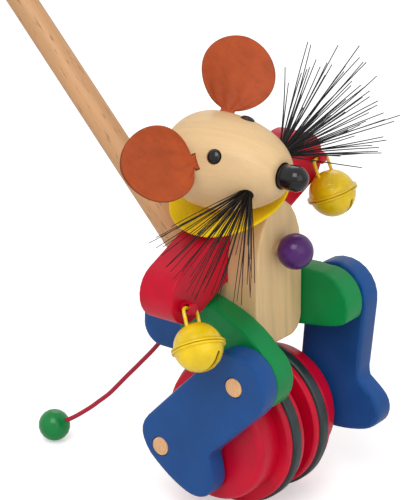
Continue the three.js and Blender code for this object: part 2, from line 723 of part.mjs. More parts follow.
const eye = (name) => {
  const { place, normal } = onHead(eyeAt.along, mirrored(eyeAt.up, sides[name]));
  const plug = turned([[seatGap - eyeDepth, 0], [seatGap - eyeDepth, eyeRadius], [0, eyeRadius],
    [eyeRadius / 8, eyeRadius - seatGap], [eyeRadius / 6, 0]], boreFacets);
  return piece(`eye_${name}`, solid(plug.applyMatrix4(standing(place, normal))), black);
};

// Ears: a leather leaf cupped across its width and pinched to a stem that stands in a slot of the head
const earRows = 10;
const earColumns = 6;

// The way each ear reaches from its root and the way it faces, as parts out, back and up
const earReach = { right: [0.81, 0.41, 0.42], left: [0.82, 0.1, 0.56] };
const earFace = { right: [0.35, -0.58, 0.72], left: [0, -0.62, 0.78] };

const earFrame = (side) => {
  const root = onHead(earAt.along, mirrored(earAt.up, side)).place;
  const [reach, face] = [earReach, earFace].map((parts) => {
    const [out, back, up] = side < 0 ? parts.right : parts.left;
    return new THREE.Vector3(side * out, back, up).normalize();
  });
  face.addScaledVector(reach, -face.dot(reach)).normalize();
  const across = new THREE.Vector3().crossVectors(face, reach);
  return new THREE.Matrix4().makeBasis(reach, across, face).setPosition(root);
};

// The leaf's rows: a tab and a stem in the head, then a round from beside the stem almost to its tip
const earRound = { from: 30 * degrees, to: 171 * degrees };
const earRow = (row) => {
  if (row < 2) return { along: row ? 0 : -earTab, half: earStem / 2 };
  const radius = earWidth / 2;
  const turn = earRound.from + ((row - 2) / (earRows - 2)) * (earRound.to - earRound.from);
  return { along: earLength - radius - radius * cos(turn), half: radius * sin(turn) };
};

// The closed leaf, grown on every side by a margin where it is used to cut its own slot
const earLeaf = (side, margin) => {
  const point = (row, column, face) => {
    const { along, half } = earRow(row);
    const across = (2 * column) / earColumns - 1;
    const pinch = 1 + earPinch * pow(1 - Math.max(0, along) / earLength, 3);
    const cup = earCup * pinch * pow((across * half) / (earWidth / 2), 2);
    const end = { 0: -margin, [earRows]: margin }[row] ?? 0;
    return [along + end, across * (half + margin), cup + face * (earThickness / 2 + margin)];
  };
  const positions = [];
  const index = [];
  const sheet = (face) => {
    const start = positions.length / 3;
    for (let row = 0; row <= earRows; row += 1) {
      for (let column = 0; column <= earColumns; column += 1) positions.push(...point(row, column, face));
    }
    return start;
  };
  const [back, front] = [sheet(-1), sheet(1)];
  const id = (start, row, column) => start + row * (earColumns + 1) + column;
  const quad = (a, b, c, d) => index.push(a, b, c, a, c, d);
  for (let row = 0; row < earRows; row += 1) {
    for (let column = 0; column < earColumns; column += 1) {
      quad(id(front, row, column), id(front, row + 1, column), id(front, row + 1, column + 1), id(front, row, column + 1));
      quad(id(back, row, column), id(back, row, column + 1), id(back, row + 1, column + 1), id(back, row + 1, column));
    }
    quad(id(back, row, 0), id(back, row + 1, 0), id(front, row + 1, 0), id(front, row, 0));
    quad(id(front, row, earColumns), id(front, row + 1, earColumns), id(back, row + 1, earColumns),
      id(back, row, earColumns));
  }
  for (let column = 0; column < earColumns; column += 1) {
    quad(id(back, 0, column), id(front, 0, column), id(front, 0, column + 1), id(back, 0, column + 1));
    quad(id(front, earRows, column), id(back, earRows, column), id(back, earRows, column + 1),
      id(front, earRows, column + 1));
  }
  const leaf = new THREE.BufferGeometry();
  leaf.setAttribute('position', new THREE.Float32BufferAttribute(positions, 3));
  leaf.setIndex(index);
  return solid(leaf.applyMatrix4(earFrame(side)));
};

const ear = (name) => piece(`ear_${name}`, earLeaf(sides[name], 0), leather);

// Whiskers: straight three-sided bristles that fan out of a plug in each cheek
const whiskers = (name) => {
  const strands = [];
  const goldenTurn = PI * (3 - sqrt(5));
  for (let i = 0; i < whiskerCount; i += 1) {
    const share = sqrt((i + 0.5) / whiskerCount);
    const turn = i * goldenTurn;
    const reach = share * (whiskerPlugRadius - whiskerThickness);
    const tilt = share * whiskerSpread;
    const length = whiskerLength + whiskerUneven * cos(whiskerWaves * turn);
    const strand = new THREE.ConeGeometry(whiskerThickness / 2, length, 3, 1)
      .rotateX(PI / 2)
      .translate(0, 0, length / 2 - whiskerThickness)
      .rotateY(tilt)
      .translate(reach, 0, 0)
      .rotateZ(turn);
    strands.push(solid(strand));
  }
  const plug = solid(bar(whiskerPlugRadius, seatGap - whiskerPlugDepth, 0));
  const body = wasm.Manifold.union([plug, ...strands]);
  const mesh = piece(`whiskers_${name}`, body, black);
  mesh.applyMatrix4(whiskerStand(sides[name]));
  return mesh;
};

// Bells: where each peg's cross hole stands with the arms at rest, and how the bell leans from it
const pegPlace = (side) => ({
  x: side * pegReach * cos(rockTilt) - pegRise * sin(rockTilt),
  y: beamFront - pegHoleFromFace,
  z: pivotHeight + side * pegReach * sin(rockTilt) + pegRise * cos(rockTilt),
});
const bellLean = {
  right: { out: 22.1 * degrees, forward: 31.1 * degrees },
  left: { out: 5.8 * degrees, forward: 20.8 * degrees },
};

const bellPeg = (name) => {
  const { x, y, z } = pegPlace(sides[name]);
  const tip = beamFront - pegProud;
  const profile = [[tip, 0], [tip, pegRadius - 2 * dowelEdge], [tip + dowelEdge, pegRadius - seatGap],
    [tip + 2 * dowelEdge, pegRadius], [beamBack, pegRadius], [beamBack, 0]];
  const body = solid(turned(profile, boreFacets).applyMatrix4(alongY))
    .subtract(barX(pegHoleRadius, -pegRadius - overrun, pegRadius + overrun, y, 0, boreFacets / 2));
  const mesh = piece(`bell_peg_${name}`, body, red);
  mesh.position.set(x, 0, z);
  mesh.rotation.y = -sides[name] * bellLean[name].out;
  return mesh;
};

const bellRings = 5;
const bellFacets = 18;
const bellShell = (upper) => {
  const sign = upper ? 1 : -1;
  const seam = sign * (seatGap / 2);
  const start = Math.asin(seatGap / 2 / bellRadius);
  const arc = (radius) => Array.from({ length: bellRings + 1 }, (_, i) => {
    const angle = start + (i / bellRings) * (PI / 2 - start);
    return [sign * radius * sin(angle), i === bellRings ? 0 : radius * cos(angle)];
  });
  const outer = arc(bellRadius).slice(1);
  const inner = arc(bellRadius - bellWall).slice(1).reverse();
  const lip = bellRadius + bellFlange;
  const outerLip = [[seam, lip], [seam + sign * bellFlangeThickness, lip],
    [seam + sign * bellFlangeThickness, bellRadius]];
  return solid(turned([...inner, [seam, bellRadius - bellWall], ...outerLip, ...outer], bellFacets));
};

const bell = (name) => {
  const { x, y, z } = pegPlace(sides[name]);
  const upper = bellShell(true).translate([0, 0, -bellDrop]);
  const slotLength = 2 * (bellRadius * sin(bellSlotReach) - bellSlot / 2);
  const slit = new THREE.BoxGeometry(bellSlot, slotLength, bellRadius).translate(0, 0, -bellRadius / 2);
  let lower = bellShell(false).subtract(solid(slit));
  for (const end of [-1, 1]) {
    const tool = bar(bellSlot / 2, -bellRadius, 0, boreFacets / 2).translate(0, (end * slotLength) / 2, 0);
    lower = lower.subtract(solid(tool));
  }
  lower = lower.translate([0, 0, -bellDrop]);
  const pellet = solid(new THREE.SphereGeometry(pelletRadius, boreFacets, boreFacets / 2)
    .translate(0, 0, -bellDrop - bellRadius + bellWall + pelletRadius + 2 * seatGap));
  const feetGap = seatGap;
  const footHeight = sqrt(bellRadius ** 2 - (loopHalfWidth + loopFoot) ** 2) - bellDrop + feetGap + loopFoot / 2;
  const route = [[-loopHalfWidth, footHeight], [-loopHalfWidth, -loopBend - loopWire],
    [-loopHalfWidth + loopBend, 0], [loopHalfWidth - loopBend, 0],
    [loopHalfWidth, -loopBend - loopWire], [loopHalfWidth, footHeight]];
  const path = new THREE.CatmullRomCurve3(route.map(([px, pz]) => new THREE.Vector3(px, 0, pz)), false, 'centripetal');
  const section = new THREE.Shape().absarc(0, 0, loopWire, 0, 2 * PI);
  const loop = solid(new THREE.ExtrudeGeometry(section, { steps: 18, extrudePath: path, curveSegments: 3 }));
  const group = groupOf(
    piece(`bell_loop_${name}`, loop, yellowPaint),
    piece(`bell_upper_${name}`, upper, yellowPaint),
    piece(`bell_lower_${name}`, lower, yellowPaint),
    piece(`bell_pellet_${name}`, pellet, yellowPaint),
  );
  group.position.set(x, y, z);
  group.rotation.set(-bellLean[name].forward, -sides[name] * bellLean[name].out, 0, 'YXZ');
  return group;
};

const bothSides = (make) => Object.keys(sides).map(make);

const rocker = groupOf(armBeam(), neckPost(), collar(), head(), nose(),
  ...bothSides(eye), ...bothSides(ear), ...bothSides(whiskers));
rocker.position.z = pivotHeight;
rocker.rotation.y = -rockTilt;

const toy = groupOf(
  torso(), axleHanger(), rump(), pushStick(), hipPin(), rockerPin(), bellyPin(), bellyBall(), tailCord(), tailBead(),
  axle(), ...bothSides(wheel), ...bothSides(tyre), ...bothSides(crankPin),
  ...bothSides(thigh), ...bothSides(shin), rocker, ...bothSides(bellPeg), ...bothSides(bell),
);

// The origin is where a hand holds the stick
const grip = stickPoint(stickStart + stickLength - gripFromEnd);
toy.position.set(0, -grip.y, -grip.z);

const assembly = new THREE.Group();
assembly.add(toy);
assembly.updateMatrixWorld(true);

export default assembly;
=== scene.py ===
"""Looks of a wooden push-along mouse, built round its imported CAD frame.

Lengths are in millimetres in the toy's own frame, whose origin is the middle of the wheels' axle,
with +Z up and the mouse facing -Y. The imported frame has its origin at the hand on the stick, so
`Placement` turns one into the other and into metres.
"""

from __future__ import annotations

import logging
import math
from collections.abc import Sequence
from dataclasses import dataclass
from enum import Enum

import bmesh
import bpy
import numpy as np
from mathutils import Matrix, Vector

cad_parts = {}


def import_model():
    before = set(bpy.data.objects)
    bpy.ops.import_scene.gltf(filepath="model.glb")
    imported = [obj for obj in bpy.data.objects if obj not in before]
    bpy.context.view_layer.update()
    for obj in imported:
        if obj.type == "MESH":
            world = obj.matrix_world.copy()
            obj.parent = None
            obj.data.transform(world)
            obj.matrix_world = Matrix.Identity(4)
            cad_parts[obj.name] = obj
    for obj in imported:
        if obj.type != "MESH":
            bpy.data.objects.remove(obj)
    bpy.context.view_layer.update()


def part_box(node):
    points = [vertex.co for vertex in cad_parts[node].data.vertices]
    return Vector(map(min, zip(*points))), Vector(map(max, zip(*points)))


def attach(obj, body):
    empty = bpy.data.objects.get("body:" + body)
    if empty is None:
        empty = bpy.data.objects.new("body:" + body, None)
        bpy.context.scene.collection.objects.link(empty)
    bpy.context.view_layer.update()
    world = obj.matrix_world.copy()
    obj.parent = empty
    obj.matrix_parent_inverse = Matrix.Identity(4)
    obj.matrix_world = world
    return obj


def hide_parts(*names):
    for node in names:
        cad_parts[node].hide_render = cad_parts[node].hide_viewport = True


LOG = logging.getLogger("mouse")
MM = 0.001
GOLDEN_TURN = math.pi * (3 - math.sqrt(5))

Array = np.ndarray
Colour = tuple[float, float, float, float]
Place = tuple[float, float, float]
Pair = tuple[float, float]
Profile = Sequence[Pair]
Material = bpy.types.Material
Socket = bpy.types.NodeSocket
Object = bpy.types.Object


class Side(Enum):
    """A side of the mouse, by the sign of its X."""

    RIGHT = -1
    LEFT = 1

    @property
    def word(self) -> str:
        """The side's word in the CAD node names."""
        return self.name.lower()


@dataclass(frozen=True)
class Stick:
    """The push stick's line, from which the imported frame's origin follows.

    Attributes:
        slope: Its angle above level, in degrees.
        height: Where its axis crosses the wheels' middle plane.
        start: Distance from there to its lower end.
        length: Its whole length.
        radius: Its radius.
        edge: Rounding of its lower end.
        grip_from_end: Where the hand holds it, from its upper end.
    """

    slope: float = 47.2
    height: float = 41.0
    start: float = 29.5
    length: float = 540.0
    radius: float = 7.5
    edge: float = 0.5
    grip_from_end: float = 60.0

    def point(self, along: float) -> Place:
        """Returns the point of its axis at a distance along it."""
        slope = math.radians(self.slope)
        return (0.0, along * math.cos(slope), self.height + along * math.sin(slope))

    def build(self, palette: Palette) -> None:
        """Makes the stick: a circle carried along its line, with a domed upper end.

        Args:
            palette: The materials.
        """
        body = [(h, self.radius) for h in np.linspace(self.edge, self.length - self.radius, 30)]
        dome = quarter(self.length - self.radius, 0.0, self.radius, 0, 10)
        profile = [(0, 0), (0, self.radius - self.edge), *body, *dome[1:-1], (self.length, 0)]
        slope = math.radians(self.slope)
        stand = Stand.at(self.point(self.start), (0, math.cos(slope), math.sin(slope)))
        piece = Mesh.turned(profile, 64).object("stick_dressed", palette.beech, stand)
        show(piece, "base", "beech", "push_stick")


@dataclass(frozen=True)
class Placement:
    """Where the toy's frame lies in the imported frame.

    Attributes:
        grip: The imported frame's origin, in the toy's frame.
    """

    grip: Place

    def matrix(self) -> Matrix:
        """Returns the matrix from toy millimetres to packed metres."""
        return Matrix.Diagonal((MM, MM, MM, 1.0)) @ Matrix.Translation(-Vector(self.grip))

    def point(self, toy: Sequence[float]) -> Vector:
        """Returns a toy point in packed metres."""
        return self.matrix() @ Vector(toy)

    def back(self, packed: Sequence[float]) -> Vector:
        """Returns a packed point in toy millimetres."""
        return self.matrix().inverted() @ Vector(packed)


STICK = Stick()
PLACE = Placement(STICK.point(STICK.start + STICK.length - STICK.grip_from_end))


@dataclass(frozen=True)
class View:
    """The photograph's camera.

    Attributes:
        azimuth: Turn from straight ahead of the mouse's right side, in degrees.
        elevation: Height above level, in degrees.
        distance: From the target.
        roll: Turn about the line of sight, in degrees.
        target: The point looked at.
        focal_px: Focal length in pixels of the photograph.
        frame_px: The photograph's longer side in pixels.
        sensor: Sensor width for that side.
    """

    azimuth: float = 38.04
    elevation: float = 20.368
    distance: float = 1026.7
    roll: float = -0.475
    target: Place = (-40.39, 0.0, 107.61)
    focal_px: float = 2063.8
    frame_px: float = 500.0
    sensor: float = 36.0

    def build(self) -> None:
        """Makes the camera and sets it as the scene's."""
        azimuth, elevation = math.radians(self.azimuth), math.radians(self.elevation)
        level = math.cos(elevation)
        back = Vector((-math.cos(azimuth) * level, -math.sin(azimuth) * level, math.sin(elevation)))
        data = bpy.data.cameras.new("camera")
        data.sensor_width = self.sensor
        data.lens = self.focal_px * self.sensor / self.frame_px
        data.clip_start, data.clip_end = 0.05, 20.0
        camera = bpy.data.objects.new("camera", data)
        bpy.context.scene.collection.objects.link(camera)
        camera.rotation_mode = "QUATERNION"
        roll = Matrix.Rotation(math.radians(self.roll), 3, "Z")
        turn = (-back).to_track_quat("-Z", "Y").to_matrix() @ roll
        camera.location = PLACE.point(Vector(self.target) + back * self.distance)
        camera.rotation_quaternion = turn.to_quaternion()
        bpy.context.scene.camera = camera


class Graph:
    """A thin hand on one material's node tree."""

    def __init__(self, name: str) -> None:
        """Makes a material with a Principled shader.

        Args:
            name: The material's name.
        """
        self.material = bpy.data.materials.new(name)
        self.material.use_nodes = True
        self.tree = self.material.node_tree
        self.shader = self.tree.nodes["Principled BSDF"]

    def add(
        self, kind: str, inputs: dict[str | int, object] | None = None, **settings: object,
    ) -> bpy.types.Node:
        """Adds a node.

        Args:
            kind: The node's Blender type.
            inputs: Input name or number to a value or to another node's output socket.
            **settings: Attributes of the node.

        Returns:
            The node.
        """
        node = self.tree.nodes.new(kind)
        for key, value in settings.items():
            setattr(node, key, value)
        for key, value in (inputs or {}).items():
            self.set(node.inputs[key], value)
        return node

    def set(self, socket: Socket, value: object) -> None:
        """Links or fills one input socket.

        Args:
            socket: The input.
            value: A value, or an output socket.
        """
        if isinstance(value, Socket):
            self.tree.links.new(value, socket)
        else:
            socket.default_value = value

    def place(self, scale: Place = (1, 1, 1), turn: Place = (0, 0, 0)) -> Socket:
        """Returns object coordinates, turned and then scaled.

        Args:
            scale: Scale for X, Y and Z.
            turn: Euler angles in degrees.
        """
        where = self.add("ShaderNodeTexCoord").outputs["Object"]
        angles = tuple(math.radians(a) for a in turn)
        turned = self.add("ShaderNodeMapping", {"Vector": where, "Rotation": angles}).outputs[0]
        return self.add("ShaderNodeMapping", {"Vector": turned, "Scale": tuple(scale)}).outputs[0]

    def noise(
        self, vector: Socket, scale: float, detail: float = 3, rough: float = 0.5, twist: float = 0,
    ) -> Socket:
        """Returns a noise texture's value."""
        inputs = {"Vector": vector, "Scale": scale, "Detail": detail, "Roughness": rough, "Distortion": twist}
        return self.add("ShaderNodeTexNoise", inputs).outputs["Fac"]

    def ramp(self, value: Socket, stops: Sequence[tuple[float, Colour]]) -> Socket:
        """Returns colours picked by a value.

        Args:
            value: The value, 0 to 1.
            stops: Pairs of a position and a linear colour.
        """
        node = self.add("ShaderNodeValToRGB", {0: value})
        ramp = node.color_ramp
        while len(ramp.elements) < len(stops):
            ramp.elements.new(0.5)
        for element, (position, colour) in zip(ramp.elements, stops):
            element.position = position
            element.color = colour
        return node.outputs["Color"]

    def mix(self, share: object, first: object, second: object) -> Socket:
        """Returns two colours mixed.

        Args:
            share: How much of the second, a number or a socket.
            first: The first colour.
            second: The second colour.
        """
        node = self.add("ShaderNodeMix", data_type="RGBA")
        self.set(node.inputs[0], share)
        self.set(node.inputs[6], first)
        self.set(node.inputs[7], second)
        return node.outputs[2]

    def between(self, value: Socket, low: float, high: float, to: Pair = (0, 1)) -> Socket:
        """Returns a value stretched from one range to another."""
        inputs = {"Value": value, "From Min": low, "From Max": high, "To Min": to[0], "To Max": to[1]}
        return self.add("ShaderNodeMapRange", inputs).outputs["Result"]

    def bump(self, height: Socket, depth: float, strength: float = 1.0) -> None:
        """Adds a bump to the shader."""
        inputs = {"Height": height, "Distance": depth, "Strength": strength}
        self.set(self.shader.inputs["Normal"], self.add("ShaderNodeBump", inputs).outputs["Normal"])

    def finish(self, colour: object, roughness: object, **inputs: float) -> Material:
        """Fills the shader's inputs and returns the material.

        Args:
            colour: The base colour or its socket.
            roughness: The roughness or its socket.
            **inputs: Other input names, with underscores for spaces, and their values.
        """
        self.set(self.shader.inputs["Base Color"], colour)
        self.set(self.shader.inputs["Roughness"], roughness)
        for key, value in inputs.items():
            self.set(self.shader.inputs[key.replace("_", " ")], value)
        return self.material


def linear(red: int, green: int, blue: int) -> Colour:
    """Returns an sRGB colour, each channel 0 to 255, as linear RGBA.

    Args:
        red: Its red.
        green: Its green.
        blue: Its blue.
    """

    def one(channel: int) -> float:
        share = channel / 255
        return share / 12.92 if share <= 0.04045 else ((share + 0.055) / 1.055) ** 2.4

    return (one(red), one(green), one(blue), 1.0)


def shade(colour: Colour, factor: float) -> Colour:
    """Returns a colour made darker or lighter."""
    red, green, blue = (min(1.0, channel * factor) for channel in colour[:3])
    return (red, green, blue, 1.0)


@dataclass(frozen=True)
class Finish:
    """What every finish has.

    Attributes:
        name: The material's name.
        colour: Its main colour, linear RGBA.
    """

    name: str
    colour: Colour


@dataclass(frozen=True)
class Paint(Finish):
    """Satin paint on wood, a little uneven in tone, with the grain just telling through.

    Attributes:
        gloss: Its roughness.
        grain: Euler angles in degrees that turn the grain onto +Z.
    """

    gloss: float = 0.4
    grain: Place = (8, 5, 0)

    def make(self) -> Material:
        """Returns the material."""
        graph = Graph(self.name)
        cloud = graph.noise(graph.place(), 45, 4)
        grain = graph.noise(graph.place((240, 240, 22), self.grain), 3.2, 5, 0.62)
        speck = graph.noise(graph.place(), 1500, 2)
        tone = graph.ramp(cloud, [
            (0.3, shade(self.colour, 0.84)), (0.55, self.colour), (0.8, shade(self.colour, 1.12)),
        ])
        streaked = graph.mix(graph.between(grain, 0.54, 0.78, (0, 0.24)), tone, shade(self.colour, 0.62))
        dotted = graph.mix(graph.between(speck, 0.68, 0.8, (0, 0.2)), streaked, shade(self.colour, 1.5))
        graph.bump(grain, 0.00014, 0.4)
        return graph.finish(
            dotted, graph.between(cloud, 0.3, 0.8, (self.gloss - 0.05, self.gloss + 0.1)),
            Specular_IOR_Level=0.22, Coat_Weight=0.04, Coat_Roughness=0.3,
        )


@dataclass(frozen=True)
class BareWood(Finish):
    """Clear-lacquered wood: stretched rings, fine pores and, on beech, short dark flecks.

    Attributes:
        along: Euler angles in degrees that turn the grain onto +Z.
        flecks: Strength of the flecks.
        contrast: Strength of the rings.
    """

    along: Place
    flecks: float = 0.0
    contrast: float = 0.8

    def make(self) -> Material:
        """Returns the material."""
        graph = Graph(self.name)
        warp = graph.noise(graph.place((1, 1, 0.2), self.along), 26, 3)
        rings = graph.noise(graph.place((1, 0.35, 0.05), self.along), 150, 4, 0.62, 0.6)
        fine = graph.noise(graph.place((1, 1, 0.045), self.along), 1500, 3, 0.7)
        colour = graph.ramp(rings, [
            (0.3, shade(self.colour, 1 - 0.2 * self.contrast)), (0.5, self.colour),
            (0.7, shade(self.colour, 1 + 0.12 * self.contrast)),
        ])
        colour = graph.mix(graph.between(warp, 0.38, 0.7, (0, 0.5)), colour, shade(self.colour, 0.86))
        colour = graph.mix(graph.between(fine, 0.52, 0.78, (0, 0.34)), colour, shade(self.colour, 0.68))
        if self.flecks:
            dashes = graph.noise(graph.place((1, 1, 0.11), self.along), 1000, 2, 0.4)
            fleck = graph.between(dashes, 0.63, 0.71, (0, self.flecks))
            colour = graph.mix(fleck, colour, shade(self.colour, 0.4))
        graph.bump(fine, 0.00008, 0.3)
        roughness = graph.between(rings, 0.3, 0.7, (0.42, 0.56))
        return graph.finish(colour, roughness, Specular_IOR_Level=0.3, Coat_Weight=0.05)


@dataclass(frozen=True)
class EndGrain(Finish):
    """The cut end of a dowel: short saw marks and pores."""

    def make(self) -> Material:
        """Returns the material."""
        graph = Graph(self.name)
        marks = graph.noise(graph.place((1, 4, 0.7), (20, 0, 0)), 420, 4, 0.7)
        pores = graph.noise(graph.place(), 2400, 2)
        colour = graph.ramp(marks, [
            (0.3, shade(self.colour, 0.76)), (0.5, self.colour), (0.7, shade(self.colour, 1.2)),
        ])
        colour = graph.mix(graph.between(pores, 0.58, 0.74, (0, 0.45)), colour, shade(self.colour, 0.55))
        graph.bump(marks, 0.0001, 0.4)
        return graph.finish(colour, 0.58)


@dataclass(frozen=True)
class Rubber(Finish):
    """Black rubber with a dull bloom."""

    def make(self) -> Material:
        """Returns the material."""
        graph = Graph(self.name)
        bloom = graph.noise(graph.place(), 160, 5)
        colour = graph.ramp(bloom, [(0.35, shade(self.colour, 0.7)), (0.7, shade(self.colour, 1.4))])
        graph.bump(graph.noise(graph.place(), 2600, 2), 0.00006, 0.4)
        return graph.finish(colour, graph.between(bloom, 0.3, 0.8, (0.36, 0.52)))


@dataclass(frozen=True)
class Leather(Finish):
    """Tan leather: pebbled grain, cloudy dye, fine creases and a burnished rim.

    Attributes:
        rim: Name of the mesh attribute that is 1 at the leaf's cut edge.
    """

    rim: str = "rim"

    def make(self) -> Material:
        """Returns the material."""
        graph = Graph(self.name)
        cloud = graph.noise(graph.place(), 60, 5, 0.6)
        cells = graph.add(
            "ShaderNodeTexVoronoi", {"Vector": graph.place(), "Scale": 1300}, feature="DISTANCE_TO_EDGE",
        )
        grain = graph.between(cells.outputs["Distance"], 0.0, 0.12)
        fibre = graph.noise(graph.place((1, 0.25, 0.6), (0, 30, 0)), 380, 5, 0.68, 0.4)
        colour = graph.ramp(cloud, [
            (0.3, shade(self.colour, 0.78)), (0.52, self.colour), (0.75, shade(self.colour, 1.18)),
        ])
        colour = graph.mix(graph.between(fibre, 0.48, 0.74, (0, 0.42)), colour, shade(self.colour, 0.56))
        colour = graph.mix(graph.between(grain, 0.0, 0.6, (0.22, 0)), colour, shade(self.colour, 0.6))
        edge = graph.add("ShaderNodeAttribute", attribute_name=self.rim).outputs["Fac"]
        colour = graph.mix(graph.between(edge, 0.45, 1.0, (0, 0.75)), colour, shade(self.colour, 0.34))
        graph.bump(fibre, 0.0002, 0.45)
        return graph.finish(colour, graph.between(cloud, 0.3, 0.8, (0.5, 0.66)), Specular_IOR_Level=0.2)


@dataclass(frozen=True)
class Felt(Finish):
    """Thick felt: matted fibres with a soft sheen.

    Attributes:
        deep: A deeper yellow, mixed in random patches as painted shade for the felt's hollows.
    """

    deep: Colour

    def make(self) -> Material:
        """Returns the material."""
        graph = Graph(self.name)
        mat = graph.noise(graph.place(), 900, 6, 0.75)
        cloud = graph.noise(graph.place(), 60, 3)
        colour = graph.ramp(mat, [(0.3, shade(self.colour, 0.8)), (0.7, shade(self.colour, 1.06))])
        # painted shade: random cloudy patches of the deeper yellow stand for shade in the felt's hollows
        colour = graph.mix(graph.between(cloud, 0.4, 0.8, (0, 0.4)), colour, self.deep)
        graph.bump(mat, 0.00022, 0.55)
        return graph.finish(colour, 0.85, Specular_IOR_Level=0.15, Sheen_Weight=0.08)


@dataclass(frozen=True)
class Gloss(Finish):
    """Gloss paint or lacquer over a smooth piece, with a faint orange peel.

    Attributes:
        roughness: Its roughness.
        coat: Weight of its clear coat.
    """

    roughness: float = 0.16
    coat: float = 0.2

    def make(self) -> Material:
        """Returns the material."""
        graph = Graph(self.name)
        cloud = graph.noise(graph.place(), 130, 4)
        tone = graph.ramp(cloud, [(0.3, shade(self.colour, 0.84)), (0.7, shade(self.colour, 1.08))])
        graph.bump(graph.noise(graph.place(), 900, 2), 0.00005, 0.3)
        return graph.finish(
            tone, self.roughness, Specular_IOR_Level=0.3, Coat_Weight=self.coat, Coat_Roughness=0.08,
        )


@dataclass(frozen=True)
class Bristle(Finish):
    """Dark stiff bristle, a little lighter along some strands.

    Attributes:
        light: Its lighter colour, linear RGBA.
    """

    light: Colour

    def make(self) -> Material:
        """Returns the material."""
        graph = Graph(self.name)
        tone = graph.noise(graph.place(), 260, 2)
        colour = graph.ramp(tone, [(0.35, self.colour), (0.7, self.light)])
        return graph.finish(colour, 0.5, Specular_IOR_Level=0.2)


@dataclass(frozen=True)
class TwistedCord(Finish):
    """Waxed cord of fine twisted strands."""

    def make(self) -> Material:
        """Returns the material."""
        graph = Graph(self.name)
        wave = graph.add("ShaderNodeTexWave", {
            "Vector": graph.place((1, 1, 1), (0, 35, 30)), "Scale": 260, "Distortion": 3, "Detail": 2,
        }).outputs["Fac"]
        colour = graph.ramp(wave, [
            (0.2, shade(self.colour, 0.6)), (0.6, self.colour), (0.9, shade(self.colour, 1.3)),
        ])
        graph.bump(wave, 0.0002, 0.6)
        return graph.finish(colour, 0.6)


class Palette:
    """Every material of the toy, made once."""

    def __init__(self) -> None:
        """Makes the materials."""
        self.red = Paint("red_paint", linear(200, 2, 42)).make()
        self.wheel = Paint("wheel_red_paint", linear(204, 4, 44), 0.34, (0, 0, 0)).make()
        self.blue = Paint("blue_paint", linear(20, 74, 138)).make()
        self.green = Paint("green_paint", linear(0, 132, 66)).make()
        self.purple = Gloss("purple_paint", linear(72, 22, 98), 0.3, 0.12).make()
        self.bead = Gloss("green_lacquer", linear(0, 130, 60), 0.3, 0.12).make()
        self.black = Gloss("black_lacquer", linear(10, 10, 12)).make()
        self.enamel = Gloss("yellow_enamel", linear(238, 200, 16), 0.2).make()
        self.pale = BareWood("pale_wood", linear(222, 188, 138), (3, 4, 0)).make()
        self.head = BareWood("head_wood", linear(222, 187, 139), (90, 12, 24), contrast=0.6).make()
        self.beech = BareWood("beech", linear(207, 158, 112), (90 - STICK.slope, 0, 0), 0.8, 0.7).make()
        self.dowel = EndGrain("dowel_end", linear(222, 172, 124)).make()
        self.rubber = Rubber("tyre_rubber", linear(24, 38, 40)).make()
        self.leather = Leather("tan_leather", linear(170, 74, 34)).make()
        # the felt's second colour is painted shade for its hollows
        self.felt = Felt("yellow_felt", linear(255, 216, 6), linear(252, 190, 0)).make()
        self.bristle = Bristle("dark_bristle", linear(8, 6, 7), linear(24, 19, 20)).make()
        self.cord = TwistedCord("red_cord", linear(178, 8, 50)).make()


@dataclass(frozen=True)
class Stand:
    """A local frame in the toy's frame.

    Attributes:
        matrix: From the piece's own millimetres to the toy's.
    """

    matrix: Matrix

    @classmethod
    def at(cls, place: Sequence[float], along: Sequence[float]) -> Stand:
        """Returns the frame whose +Z points along a direction at a place."""
        turn = Vector((0, 0, 1)).rotation_difference(Vector(along)).to_matrix().to_4x4()
        return cls(Matrix.Translation(Vector(place)) @ turn)

    def then(self, inner: Matrix) -> Stand:
        """Returns this frame with another inside it."""
        return Stand(self.matrix @ inner)

    def inside(self, place: Sequence[float], along: Sequence[float]) -> Stand:
        """Returns the frame whose +Z points along a direction at a place of this frame."""
        return self.then(Stand.at(place, along).matrix)


HOME = Stand(Matrix.Identity(4))


